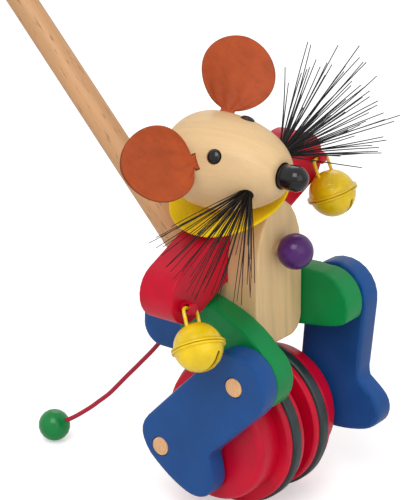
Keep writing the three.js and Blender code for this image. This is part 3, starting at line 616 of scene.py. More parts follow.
@dataclass
class Mesh:
    """Points and faces, in millimetres of some local frame.

    Attributes:
        points: Array of shape (count, 3).
        faces: Each face's point numbers.
    """

    points: Array
    faces: list[list[int]]

    @classmethod
    def grid(cls, points: Array, wrap: bool, caps: bool = False) -> Mesh:
        """Returns a sheet of quads over rows and columns of points.

        Args:
            points: Array of shape (rows, columns, 3).
            wrap: Whether the last column joins the first.
            caps: Whether the first and last rows are each closed by one face.
        """
        rows, columns = points.shape[:2]
        spans = columns if wrap else columns - 1
        here = (np.arange(rows - 1)[:, None] * columns + np.arange(spans)).ravel()
        right = (np.arange(rows - 1)[:, None] * columns + (np.arange(spans) + 1) % columns).ravel()
        faces = np.stack([here, right, right + columns, here + columns], -1).tolist()
        if caps:
            faces.append(list(reversed(range(columns))))
            faces.append(list(range((rows - 1) * columns, rows * columns)))
        return cls(points.reshape(-1, 3), faces)

    @classmethod
    def turned(cls, profile: Profile, facets: int = 96, caps: bool = True) -> Mesh:
        """Returns a profile turned about Z: point = (r cos a, r sin a, h).

        Args:
            profile: Pairs of a height and a radius.
            facets: Steps round the axis.
            caps: Whether the ends are closed.
        """
        heights, radii = np.array(profile, float).T
        angles = np.linspace(0, 2 * np.pi, facets, endpoint=False)
        x = radii[:, None] * np.cos(angles)
        y = radii[:, None] * np.sin(angles)
        z = np.repeat(heights[:, None], facets, 1)
        return cls.grid(np.stack([x, y, z], -1), wrap=True, caps=caps)

    @classmethod
    def tube(cls, route: Array, radii: Array, facets: int = 12) -> Mesh:
        """Returns a round tube along a route.

        Each ring stands square to the route: point = centre + r (cos a · side + sin a · up), where side is
        square to the route's run and to a fixed direction that the route never takes.

        Args:
            route: Array of shape (count, 3).
            radii: Its radius at each point.
            facets: Steps round it.
        """
        run = np.gradient(route, axis=0)
        run /= np.linalg.norm(run, axis=1, keepdims=True)
        fixed = np.eye(3)[np.argmin(np.abs(run).max(axis=0))]
        side = np.cross(run, fixed)
        side /= np.linalg.norm(side, axis=1, keepdims=True)
        up = np.cross(side, run)
        angles = np.linspace(0, 2 * np.pi, facets, endpoint=False)
        rings = np.cos(angles)[None, :, None] * side[:, None] + np.sin(angles)[None, :, None] * up[:, None]
        return cls.grid(route[:, None] + radii[:, None, None] * rings, wrap=True, caps=True)

    def object(
        self, name: str, material: Material, stand: Stand = HOME, smooth: float = 40.0,
        attributes: dict[str, Array] | None = None,
    ) -> Object:
        """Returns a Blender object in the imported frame, doubled points merged, faces turned outwards.

        Args:
            name: The object's name.
            material: Its material.
            stand: The local frame of its points.
            smooth: Edges sharper than this many degrees stay sharp.
            attributes: Mesh attributes for shaders, one number a point.
        """
        total = np.array(PLACE.matrix() @ stand.matrix)
        data = bpy.data.meshes.new(name)
        data.from_pydata((self.points @ total[:3, :3].T + total[:3, 3]).tolist(), [], self.faces)
        data.materials.append(material)
        for key, values in (attributes or {}).items():
            data.attributes.new(key, "FLOAT", "POINT").data.foreach_set("value", values)
        work = bmesh.new()
        work.from_mesh(data)
        bmesh.ops.remove_doubles(work, verts=work.verts, dist=1e-7)
        bmesh.ops.recalc_face_normals(work, faces=work.faces)
        work.to_mesh(data)
        work.free()
        data.validate()
        piece = bpy.data.objects.new(name, data)
        bpy.context.scene.collection.objects.link(piece)
        soften(piece, smooth)
        return piece


def soften(piece: Object, degrees: float) -> None:
    """Smooth shading, with sharp edges kept."""
    piece.data.polygons.foreach_set("use_smooth", [True] * len(piece.data.polygons))
    piece.data.set_sharp_from_angle(angle=math.radians(degrees))


def lathe(name: str, profile: Profile, facets: int, material: Material, stand: Stand) -> Object:
    """Returns a Blender object turned from a profile that starts and ends on its axis."""
    return Mesh.turned(profile, facets, caps=False).object(name, material, stand)


def quarter(height: float, radius: float, size: float, start: float, steps: int = 6) -> list[Pair]:
    """Returns a quarter round of a profile."""
    angles = np.radians(np.linspace(start, start + 90, steps + 1))
    return [(height + size * math.sin(a), radius + size * math.cos(a)) for a in angles]


def cut(piece: Object, *tools: Object) -> Object:
    """Cuts tools out of a mesh for good, and deletes them.

    Args:
        piece: The mesh object.
        *tools: The cutting meshes.

    Returns:
        The piece.
    """
    for tool in tools:
        modifier = piece.modifiers.new("cut", "BOOLEAN")
        modifier.operation, modifier.object, modifier.solver = "DIFFERENCE", tool, "EXACT"
    evaluated = piece.evaluated_get(bpy.context.evaluated_depsgraph_get())
    fresh = bpy.data.meshes.new_from_object(evaluated)
    piece.modifiers.clear()
    piece.data = fresh
    for tool in tools:
        bpy.data.objects.remove(tool)
    soften(piece, 32)
    return piece


def show(piece: Object, body: str, slot: str, *nodes: str) -> None:
    """Puts a dressed piece on its body, in place of CAD nodes.

    Args:
        piece: The piece.
        body: The CAD body it rides.
        slot: The name of its finish; not used.
        *nodes: The nodes it stands for.
    """
    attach(piece, body)
    if nodes:
        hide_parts(*nodes)


@dataclass(frozen=True)
class Tail:
    """The tail: a cord from the rump to a bead on the ground.

    Attributes:
        radius: The cord's radius.
        route: The cord's points, repeated from the CAD source.
    """

    radius: float = 1.25
    route: tuple[Place, ...] = (
        (0, 56, 34.3), (0, 58.9, 30.8), (0, 61.8, 27.3), (-1.1, 66.5, 21.4), (-2.3, 70.4, 16.8),
        (-3.4, 74.3, 12.2), (-4.6, 78.3, 7.6), (-5.7, 82.3, 2.9), (-6.9, 86.3, -1.9), (-8, 90.2, -6.4),
        (-9.2, 93.3, -9.5), (-10.3, 96.3, -12.2), (-11.5, 100.3, -15.9), (-12.6, 104.5, -19.3),
        (-13.8, 108.9, -22.7), (-14.8, 113.4, -25.8), (-15.5, 116.4, -27.5),
    )

    def length(self) -> float:
        """Returns the cord's length along its points."""
        points = np.array(self.route)
        return float(np.linalg.norm(np.diff(points, axis=0), axis=1).sum())

    def build(self, palette: Palette) -> None:
        """Makes the cord as a curve with one open spline, and dresses its bead.

        Args:
            palette: The materials.
        """
        curve = bpy.data.curves.new("tail_cord_dressed", "CURVE")
        curve.dimensions, curve.bevel_depth, curve.bevel_resolution = "3D", self.radius * MM, 4
        curve.use_fill_caps = True
        spline = curve.splines.new("BEZIER")
        spline.bezier_points.add(len(self.route) - 1)
        for knot, place in zip(spline.bezier_points, self.route):
            knot.co = PLACE.point(place)
            knot.handle_left_type = knot.handle_right_type = "AUTO"
        curve.materials.append(palette.cord)
        cord = bpy.data.objects.new("tail_cord_dressed", curve)
        bpy.context.scene.collection.objects.link(cord)
        show(cord, "base", "cord", "tail_cord")
        bead = CadNode("tail_bead")
        bead.dress(palette.bead)
        tuple(PLACE.point(self.route[0]))
        self.length() * MM
        bead.object


@dataclass(frozen=True)
class CadNode:
    """A CAD node that is shown as it is, with a better material.

    Attributes:
        name: The node's name.
    """

    name: str

    @property
    def object(self) -> Object:
        """The node's Blender object."""
        return bpy.data.objects[self.name]

    def dress(self, material: Material, smooth: float = 35.0) -> None:
        """Gives the node its material, with its facets shaded as curves.

        Args:
            material: The material.
            smooth: Edges sharper than this many degrees stay sharp.
        """
        piece = self.object
        piece.data.materials.clear()
        piece.data.materials.append(material)
        weld = piece.modifiers.new("weld", "WELD")
        weld.merge_threshold = 2e-6
        split = piece.modifiers.new("split", "EDGE_SPLIT")
        split.split_angle = math.radians(smooth)
        piece.data.polygons.foreach_set("use_smooth", [True] * len(piece.data.polygons))
        even = piece.modifiers.new("even", "WEIGHTED_NORMAL")
        even.keep_sharp = True


@dataclass(frozen=True)
class Wheels:
    """The two wheels with their tyres, about the axle along X.

    Attributes:
        bore: Radius of the axle's hole.
        outer: Distance of its boss's outer face.
        rim: Radius of its wooden rim.
        tread: Radius of its rubber tyre.
        boss: Radius of its boss's outer face.
        boss_round: Rounding of the boss's edge.
        crank: Radius on which the crank pin stands.
        crank_bore: Radius of the crank pin's hole.
        crank_depth: Depth of that hole.
        angles: The crank pins' angles, right and left, in degrees.
        axle_end: Where the axle's hole ends, out along the axle.
        face: Where the wooden rim starts, and where it ends on a cone's edge.
        cone: Radius of that edge.
        rounding: Rounding of the rim's corners.
        groove: Where the tyre's groove starts and ends, and the radius of its floor.
        tyre_round: Rounding of the tyre's tread.
        gap: Clearance between tyre and groove.
    """

    bore: float = 4.3
    outer: float = 34.2
    rim: float = 39.5
    tread: float = 41.0
    boss: float = 29.0
    boss_round: float = 4.0
    crank: float = 22.5
    crank_bore: float = 5.3
    crank_depth: float = 12.0
    angles: Pair = (-10.0, 179.0)
    axle_end: float = 27.3
    face: Pair = (4.5, 19.0)
    cone: float = 33.0
    rounding: float = 1.6
    groove: Place = (8.2, 15.8, 36.3)
    tyre_round: float = 1.8
    gap: float = 0.3

    def profile(self) -> Profile:
        """Returns a wheel's turned profile, as distances out along the axle and radii."""
        (start, end), (low, high, floor), small = self.face, self.groove, self.rounding
        inward, big = self.rim - small, self.outer - self.boss_round
        return [
            (self.axle_end, 0), (self.axle_end, self.bore), (start, self.bore),
            *quarter(start + small, inward, small, -90), (low, self.rim), (low, floor), (high, floor),
            (high, self.rim), *quarter(end - small, inward, small, 0), (end, self.cone),
            *quarter(big, self.boss, self.boss_round, 0), (self.outer, 0),
        ]

    def ring(self) -> Profile:
        """Returns a tyre's turned profile, in the same way."""
        low, high, floor = self.groove[0] + self.gap, self.groove[1] - self.gap, self.groove[2] + self.gap
        small = self.tyre_round
        inward = self.tread - small
        return [
            *quarter(low + small, inward, small, -90), *quarter(high - small, inward, small, 0),
            (high, floor), (low, floor), (low, inward),
        ]

    def build(self, palette: Palette) -> None:
        """Makes both wheels and tyres.

        Args:
            palette: The materials.
        """
        for side, degrees in zip(Side, self.angles):
            hub = Stand.at((0, 0, 0), (side.value, 0, 0))
            wheel = lathe(f"wheel_{side.word}_dressed", self.profile(), 128, palette.wheel, hub)
            y, z = (self.crank * turn(math.radians(degrees)) for turn in (math.cos, math.sin))
            foot = (side.value * (self.outer - self.crank_depth), y, z)
            bore = [(0, 0), (0, self.crank_bore), (20, self.crank_bore), (20, 0)]
            tool = lathe("bore", bore, 48, palette.wheel, Stand.at(foot, (side.value, 0, 0)))
            show(cut(wheel, tool), "wheels", "red_paint", f"wheel_{side.word}")
            tyre = lathe(f"tyre_{side.word}_dressed", self.ring(), 128, palette.rubber, hub)
            show(tyre, "wheels", "rubber", f"tyre_{side.word}")
        for name in ("axle", "crank_pin_right", "crank_pin_left"):
            CadNode(name).dress(palette.dowel)


@dataclass(frozen=True)
class Dowels:
    """The dowels whose cut ends show: the hip pin, and the pins of both legs.

    Attributes:
        radius: Their radius.
        edge: Rounding of their ends.
        hip: The hip pin's place, as Y and Z.
        hip_reach: How far the hip pin reaches to each side.
    """

    radius: float = 5.0
    edge: float = 0.5
    hip: Pair = (5.8, 60.2)
    hip_reach: float = 34.7

    def make(self, name: str, start: float, end: float, y: float, z: float, palette: Palette) -> Object:
        """Returns one dowel along X.

        Args:
            name: The object's name.
            start: X of one end.
            end: X of the other.
            y: Its axis's Y.
            z: Its axis's Z.
            palette: The materials.
        """
        low, high = sorted((start, end))
        inner = self.radius - self.edge
        foot = quarter(low + self.edge, inner, self.edge, -90)
        head = quarter(high - self.edge, inner, self.edge, 0)
        stand = Stand.at((0, y, z), (1, 0, 0))
        return lathe(name, [(low, 0), *foot, *head, (high, 0)], 48, palette.dowel, stand)

    def build(self, palette: Palette) -> None:
        """Makes the pins.

        Args:
            palette: The materials.
        """
        hip = self.make("hip_pin_dressed", -self.hip_reach, self.hip_reach, *self.hip, palette)
        show(hip, "base", "beech", "hip_pin")
        for side in Side:
            for joint, body in (("knee", "thigh"), ("foot", "leg")):
                node = f"{joint}_pin_{side.word}"
                low, high = (PLACE.back(corner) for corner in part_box(node))
                _, y, z = (low + high) / 2
                pin = self.make(f"{node}_dressed", low.x, high.x, y, z, palette)
                show(pin, f"{body}_{side.word}", "beech", node)


@dataclass(frozen=True)
class Frame:
    """The wooden frame and its legs: CAD solids, dressed."""

    def build(self, palette: Palette) -> None:
        """Dresses the solids.

        Args:
            palette: The materials.
        """
        plain = {
            "torso": palette.pale, "axle_hanger": palette.beech, "rump": palette.blue,
            "rocker_pin": palette.dowel, "belly_pin": palette.dowel, "arm_beam": palette.red,
            "neck_post": palette.beech,
        }
        for side in Side:
            plain[f"thigh_{side.word}"] = palette.green
            plain[f"leg_{side.word}"] = palette.blue
        for name, material in plain.items():
            CadNode(name).dress(material)


@dataclass(frozen=True)
class Belly:
    """The purple ball on the mouse's front.

    Attributes:
        radius: Its radius.
        centre: Its middle.
        bore: Radius and depth of the pin's hole at its back.
    """

    radius: float = 9.3
    centre: Place = (0, -28.9, 101.2)
    bore: Pair = (4.3, 8.3)

    def build(self, palette: Palette) -> None:
        """Makes the ball, turned about the pin's axis, with its hole.

        Args:
            palette: The materials.
        """
        bore, depth = self.bore
        low = math.asin(bore / self.radius)
        arc = [(-self.radius * math.cos(a), self.radius * math.sin(a)) for a in np.linspace(low, math.pi, 40)]
        profile = [(-self.radius + depth, 0), (-self.radius + depth, bore), *arc]
        ball = lathe("belly_ball_dressed", profile, 64, palette.purple, Stand.at(self.centre, (0, -1, 0)))
        show(ball, "base", "purple_paint", "belly_ball")


@dataclass(frozen=True)
class Rocker:
    """The frame of the rocking arms: their pivot's height and the way they lean at rest.

    Attributes:
        height: The pivot's height.
        tilt: The lean, left side up, in degrees.
    """

    height: float = 107.0
    tilt: float = 24.0

    def stand(self) -> Stand:
        """Returns the rocker's frame."""
        turn = Matrix.Rotation(math.radians(-self.tilt), 4, "Y")
        return Stand(Matrix.Translation((0, 0, self.height)) @ turn)

    def peg(self, side: Side, along: float = 61.0, rise: float = 0.3) -> tuple[float, float]:
        """Returns a bell peg's X and Z in the toy's frame.

        Args:
            side: Its side.
            along: Its distance from the pivot along the arm.
            rise: Its height above the arm's pivot line.
        """
        tilt = math.radians(self.tilt)
        reach = side.value * along
        return (
            reach * math.cos(tilt) - rise * math.sin(tilt),
            self.height + reach * math.sin(tilt) + rise * math.cos(tilt),
        )


@dataclass(frozen=True)
class Collar:
    """The felt collar: a disc round the neck that waves a little at its edge.

    Attributes:
        radius: Its radius.
        bore: Its hole's radius.
        low: Its lower face's height in the rocker's frame.
        thickness: Its thickness.
        depth: Its centre's Y.
        wave: How far its edge rises and falls.
    """

    radius: float = 31.4
    bore: float = 5.3
    low: float = 20.3
    thickness: float = 2.0
    depth: float = 6.5
    wave: float = 0.45

    def build(self, palette: Palette, rocker: Rocker) -> None:
        """Makes the disc; its height gains wave · (r / R)^3 · sin(3a + 1).

        Args:
            palette: The materials.
            rocker: The frame it stands in.
        """
        half = self.thickness / 2
        spread = np.linspace(self.bore, self.radius - half, 12)
        profile = [
            *((0.0, r) for r in spread), *quarter(half, self.radius - half, half, -90, 4)[1:],
            *quarter(half, self.radius - half, half, 0, 4)[1:],
            *((self.thickness, r) for r in spread[-2::-1]), (0.0, self.bore),
        ]
        disc = Mesh.turned(profile, 128, caps=False)
        reach = np.hypot(disc.points[:, 0], disc.points[:, 1]) / self.radius
        turn = np.arctan2(disc.points[:, 1], disc.points[:, 0])
        disc.points[:, 2] += self.wave * reach ** 3 * np.sin(3 * turn + 1)
        stand = rocker.stand().then(Matrix.Translation((0, self.depth, self.low)))
        show(disc.object("collar_dressed", palette.felt, stand), "rocker", "yellow_felt", "collar")


@dataclass(frozen=True)
class Head:
    """The egg-shaped head along Y, with its nose and eyes.

    Attributes:
        rise: Its centre line's height in the rocker's frame.
        radius: Its largest radius.
        centre: Y of that radius.
        front: Its reach forward from there, and the power of its curve.
        back: Its reach back from there, and the power of its curve.
        snout: Radius of the blunt end.
        snout_edge: Rounding of that end.
        seat: Height of the flat that stands on the collar.
        neck: The neck hole's radius, depth and Y.
        nose: The nose's radius, length, and height from the centre line.
        nose_bore: Depth of its hole.
        eye: An eye's radius, and its hole's depth.
        eye_at: An eye's Y and angle up, in degrees.
        gap: Clearance round what is plugged in.
        flat: Depth and radius of the block that cuts the seat.
        groove: Heights at which the nose's groove starts, narrows, widens and ends.
        slim: How much thinner the nose is at its shank, in its groove and above it.
        eye_dome: How far an eye's dome starts above the wood, and its height.
    """

    rise: float = 44.4
    radius: float = 24.6
    centre: float = 7.6
    front: Pair = (44.5, 2.05)
    back: Pair = (28.0, 2.2)
    snout: float = 9.0
    snout_edge: float = 2.6
    seat: float = 22.6
    neck: Place = (5.3, 14.8, 6.5)
    nose: Place = (6.5, 14.0, -0.6)
    nose_bore: float = 4.0
    eye: Pair = (3.5, 3.0)
    eye_at: Pair = (-7.4, 49.0)
    gap: float = 0.3
    flat: Pair = (30.0, 60.0)
    groove: tuple[float, float, float, float] = (1.0, 1.3, 1.8, 2.2)
    slim: Place = (0.3, 0.7, 0.2)
    eye_dome: Pair = (0.1, 1.3)

    def size(self, y: Array | float) -> Array:
        """Returns the egg's radius at a Y: R · sqrt(1 - (|y - centre| / reach) ^ power).

        Args:
            y: Where.
        """
        ahead = np.asarray(y) < self.centre
        reach = np.where(ahead, self.front[0], self.back[0])
        power = np.where(ahead, self.front[1], self.back[1])
        share = np.minimum(1.0, np.abs(np.asarray(y) - self.centre) / reach)
        return self.radius * np.sqrt(np.maximum(0.0, 1 - share ** power))

    @property
    def snout_y(self) -> float:
        """Y of the blunt end."""
        share = 1 - (self.snout / self.radius) ** 2
        return self.centre - self.front[0] * share ** (1 / self.front[1])

    def on(self, y: float, up: float, side: Side) -> tuple[Vector, Vector]:
        """Returns a place on the head, and the outward direction there, in the rocker's frame.

        Args:
            y: How far along it.
            up: Angle above level, in degrees.
            side: Which side.
        """
        angle = math.radians(up)
        size = float(self.size(y))
        slope = float(self.size(y + 0.01) - self.size(y - 0.01)) / 0.02
        out = side.value * math.cos(angle)
        place = Vector((size * out, y, self.rise + size * math.sin(angle)))
        return place, Vector((out, -slope, math.sin(angle))).normalized()

    def egg(self) -> Profile:
        """Returns the egg's profile along Y, with rings closer together towards its ends."""
        snout, back, edge = self.snout_y, self.centre + self.back[0], self.snout_edge
        start = snout + edge
        turn = np.linspace(0, np.pi, 73)[1:-1]
        along = (start + back) / 2 - (back - start) / 2 * np.cos(turn)
        rings = [(y, float(self.size(y))) for y in along]
        size = float(self.size(start))
        corner = size - edge * float(self.size(start + 0.01) - self.size(start - 0.01)) / 0.02
        share = np.linspace(0, 1, 12)
        curve = [
            (snout + edge * t * t, (1 - t) ** 2 * (corner - edge) + 2 * t * (1 - t) * corner + t * t * size)
            for t in share
        ]
        return [(snout, 0), *curve, *rings, (back, 0)]

    def build(self, palette: Palette, rocker: Rocker, whiskers: Whiskers, ears: Ears) -> None:
        """Makes the head, nose and eyes.

        Args:
            palette: The materials.
            rocker: The frame they stand in.
            whiskers: The whiskers, for their holes.
            ears: The ears, for their slots.
        """
        frame = rocker.stand()
        middle = frame.inside((0, 0, self.rise), (0, 1, 0))
        piece = lathe("head_dressed", self.egg(), 128, palette.head, middle)
        radius, depth, y = self.neck
        neck = frame.inside((0, y, self.seat), (0, 0, 1)).then(Matrix.Rotation(math.pi, 4, "X"))
        nose = frame.inside((0, self.snout_y, self.rise + self.nose[2]), (0, -1, 0))
        deep, wide = self.flat
        below = Mesh.turned([(-deep, 0), (-deep, wide), (0, wide), (0, 0)], 8, caps=False)
        tools = [
            (below, frame.inside((0, self.centre, self.seat), (0, 0, 1))),
            (self.drill(radius, depth, 1), neck),
            (self.drill(self.nose[0] + self.gap, self.nose_bore, 1), nose),
        ]
        for side in Side:
            eye = frame.inside(*self.on(*self.eye_at, side))
            tools.append((self.drill(self.eye[0] + self.gap, self.eye[1], 1, 0.9), eye))
            tools.append((whiskers.hole(), whiskers.stand(self, rocker, side)))
            tools.append((ears.slot(), ears.stand(self, rocker, side)))
        cut(piece, *(mesh.object("tool", palette.head, stand) for mesh, stand in tools))
        show(piece, "rocker", "pale_wood", "head")
        self.build_nose(palette, frame)
        for side in Side:
            rim, back = self.eye[0] - 0.05, self.gap - self.eye[1]
            foot, dome_height = self.eye_dome
            dome = [
                (foot + dome_height * math.sin(a), rim * math.cos(a)) for a in np.linspace(0, math.pi / 2, 12)
            ]
            profile = [(back, 0), (back, rim), *dome]
            stand = frame.inside(*self.on(*self.eye_at, side))
            eye = lathe(f"eye_{side.word}_dressed", profile, 48, palette.black, stand)
            show(eye, "rocker", "black_gloss", f"eye_{side.word}")

    def build_nose(self, palette: Palette, frame: Stand) -> None:
        """Makes the nose: turned, with a groove at its foot.

        Args:
            palette: The materials.
            frame: The rocker's frame.
        """
        radius, length, rise = self.nose
        dome = [
            (length - radius + radius * math.sin(a), radius * math.cos(a))
            for a in np.linspace(-0.9, math.pi / 2, 24)
        ]
        back, (start, narrow, widen, end) = self.gap - self.nose_bore, self.groove
        slim, waist, lip = (radius - less for less in self.slim)
        shank = [(back, 0), (back, slim), (start, slim), (narrow, waist), (widen, waist)]
        barrel = [(end, lip), (length - radius - 1.2, radius)]
        profile = [*shank, *barrel, *(point for point in dome if point[0] > length - radius)]
        stand = frame.inside((0, self.snout_y, self.rise + rise), (0, -1, 0))
        show(lathe("nose_dressed", profile, 64, palette.black, stand), "rocker", "black_gloss", "nose")

    @staticmethod
    def drill(radius: float, depth: float, proud: float, chamfer: float = 0.0) -> Mesh:
        """Returns a drill's shape, along +Z, to cut a hole with.

        Args:
            radius: Its radius.
            depth: How deep it goes.
            proud: How far it stands out.
            chamfer: How much wider it is at the mouth.
        """
        mouth = radius + chamfer * (proud + chamfer / 2)
        profile = [(-depth, 0), (-depth, radius), (-chamfer / 2, radius), (proud, mouth), (proud, 0)]
        return Mesh.turned(profile, 48, caps=False)


@dataclass(frozen=True)
class Whiskers:
    """A brush of bristles in each cheek.

    Attributes:
        at: Y of its plug, and its angle up in degrees.
        lean: How the plug leans forward and down, in degrees.
        plug: Its plug's radius and depth.
        count: Strands of each brush, right and left.
        length: A strand's shortest and longest length.
        thickness: A strand's thickness at its root and tip, right and left.
        spread: How far the outermost strands lean out, right and left, in degrees.
        bend: How far a strand's tip strays.
        room: How far the strands stay from a bell that swings past.
        gap: Clearance round its plug.
        uneven: Least and most share of its lean that a strand takes.
        flare: Height of the hole's flare.
    """

    at: Pair = (-22.9, -4.0)
    lean: Pair = (8.0, 4.0)
    plug: Pair = (3.4, 4.0)
    count: tuple[int, int] = (54, 62)
    length: Pair = (49.0, 62.0)
    thickness: tuple[Pair, Pair] = ((0.6, 0.36), (0.78, 0.5))
    spread: Pair = (32.0, 38.0)
    bend: float = 3.0
    room: float = 1.2
    gap: float = 0.3
    uneven: Pair = (0.85, 1.05)
    flare: float = 4.0

    def stand(self, head: Head, rocker: Rocker, side: Side) -> Stand:
        """Returns a plug's frame, its +Z along the brush.

        Args:
            head: The head.
            rocker: The frame it stands in.
            side: Which side.
        """
        forward, down = (math.radians(a) for a in self.lean)
        along = (side.value * math.cos(forward) * math.cos(down), -math.sin(forward), -math.sin(down))
        return rocker.stand().inside(head.on(*self.at, side)[0], Vector(along).normalized())

    def hole(self) -> Mesh:
        """Returns the shape of a plug's flared hole."""
        radius, depth, top = self.plug[0] + self.gap, self.plug[1], self.flare
        mouth = radius + top * math.tan(math.radians(max(self.spread) + self.lean[1]))
        profile = [(-depth, 0), (-depth, radius), (0, radius), (top, mouth), (top, 0)]
        return Mesh.turned(profile, 48, caps=False)

    def brush(self, which: int, seed: int, passing: Array, reach: float) -> Mesh:
        """Returns the strands as one mesh, each trimmed where a swinging bell would meet it.

        Strand i starts at share · plug radius from the middle, turned by i golden angles, where share is the
        square root of (i + 1/2) / count. It leans out by share · spread, and strays as the square of the way
        along it.

        Args:
            which: 0 for the right brush, 1 for the left.
            seed: Seed of the strands' unevenness.
            passing: The bell's centre as it swings, in the brush's frame, one place a row.
            reach: The bell's radius.
        """
        random = np.random.default_rng(seed)
        count = self.count[which]
        number = np.arange(count)
        share = np.sqrt((number + 0.5) / count)
        turn = number * GOLDEN_TURN
        tilt = np.radians(self.spread[which]) * share * random.uniform(*self.uneven, count)
        away = np.stack([np.cos(turn), np.sin(turn), np.zeros(count)], -1)
        run = np.sin(tilt)[:, None] * away + np.cos(tilt)[:, None] * np.array([0, 0, 1.0])
        length = random.uniform(*self.length, count)
        stray = self.bend * random.normal(0, 0.5, (count, 1, 3)) * np.array([1, 1, 0])
        root = away * (share * (self.plug[0] - 0.6))[:, None] - np.array([0, 0, 1.0])

        def places(way: Array) -> Array:
            """Returns the strands' middle lines."""
            straight = (run * length[:, None])[:, None] * way[..., None]
            return root[:, None] + straight + stray * way[..., None] ** 2

        fine = np.linspace(0, 1, 61)
        gaps = np.linalg.norm(places(np.tile(fine, (count, 1)))[:, :, None] - passing, axis=-1).min(-1)
        met = gaps < reach + self.room
        kept = np.where(met.any(1), fine[met.argmax(1)], 1.0)
        along = np.linspace(0, 1, 9)
        middle = places(kept[:, None] * along)
        side = np.cross(run, away + np.array([0, 0, 0.3]))
        side /= np.linalg.norm(side, axis=1, keepdims=True)
        up = np.cross(side, run)
        radius = np.interp(along, [0, 1], np.array(self.thickness[which]) / 2)
        angles = np.linspace(0, 2 * np.pi, 5, endpoint=False)
        ring = np.cos(angles)[:, None] * side[:, None] + np.sin(angles)[:, None] * up[:, None]
        points = middle[:, :, None] + radius[None, :, None, None] * ring[:, None]
        one = Mesh.grid(points[0], wrap=True, caps=True)
        step = one.points.shape[0]
        faces = [[corner + step * strand for corner in face] for strand in range(count) for face in one.faces]
        return Mesh(points.reshape(-1, 3), faces)

    def build(self, palette: Palette, head: Head, rocker: Rocker, bells: Bells) -> None:
        """Makes both brushes with their plugs.

        Args:
            palette: The materials.
            head: The head.
            rocker: The frame it stands in.
            bells: The bells that swing past.
        """
        for which, side in enumerate(Side):
            stand = self.stand(head, rocker, side)
            strands = self.brush(which, 11 + side.value, bells.passing(rocker, side, stand), bells.lip[0])
            node = f"whiskers_{side.word}"
            show(strands.object(f"{node}_dressed", palette.bristle, stand), "rocker", "bristle", node)
            radius, depth = self.plug
            end = self.gap - depth
            profile = [(end, 0), (end, radius), (-0.2, radius), (0, radius - self.gap), (0, 0)]
            show(lathe(f"{node}_plug", profile, 32, palette.bristle, stand), "rocker", "bristle")


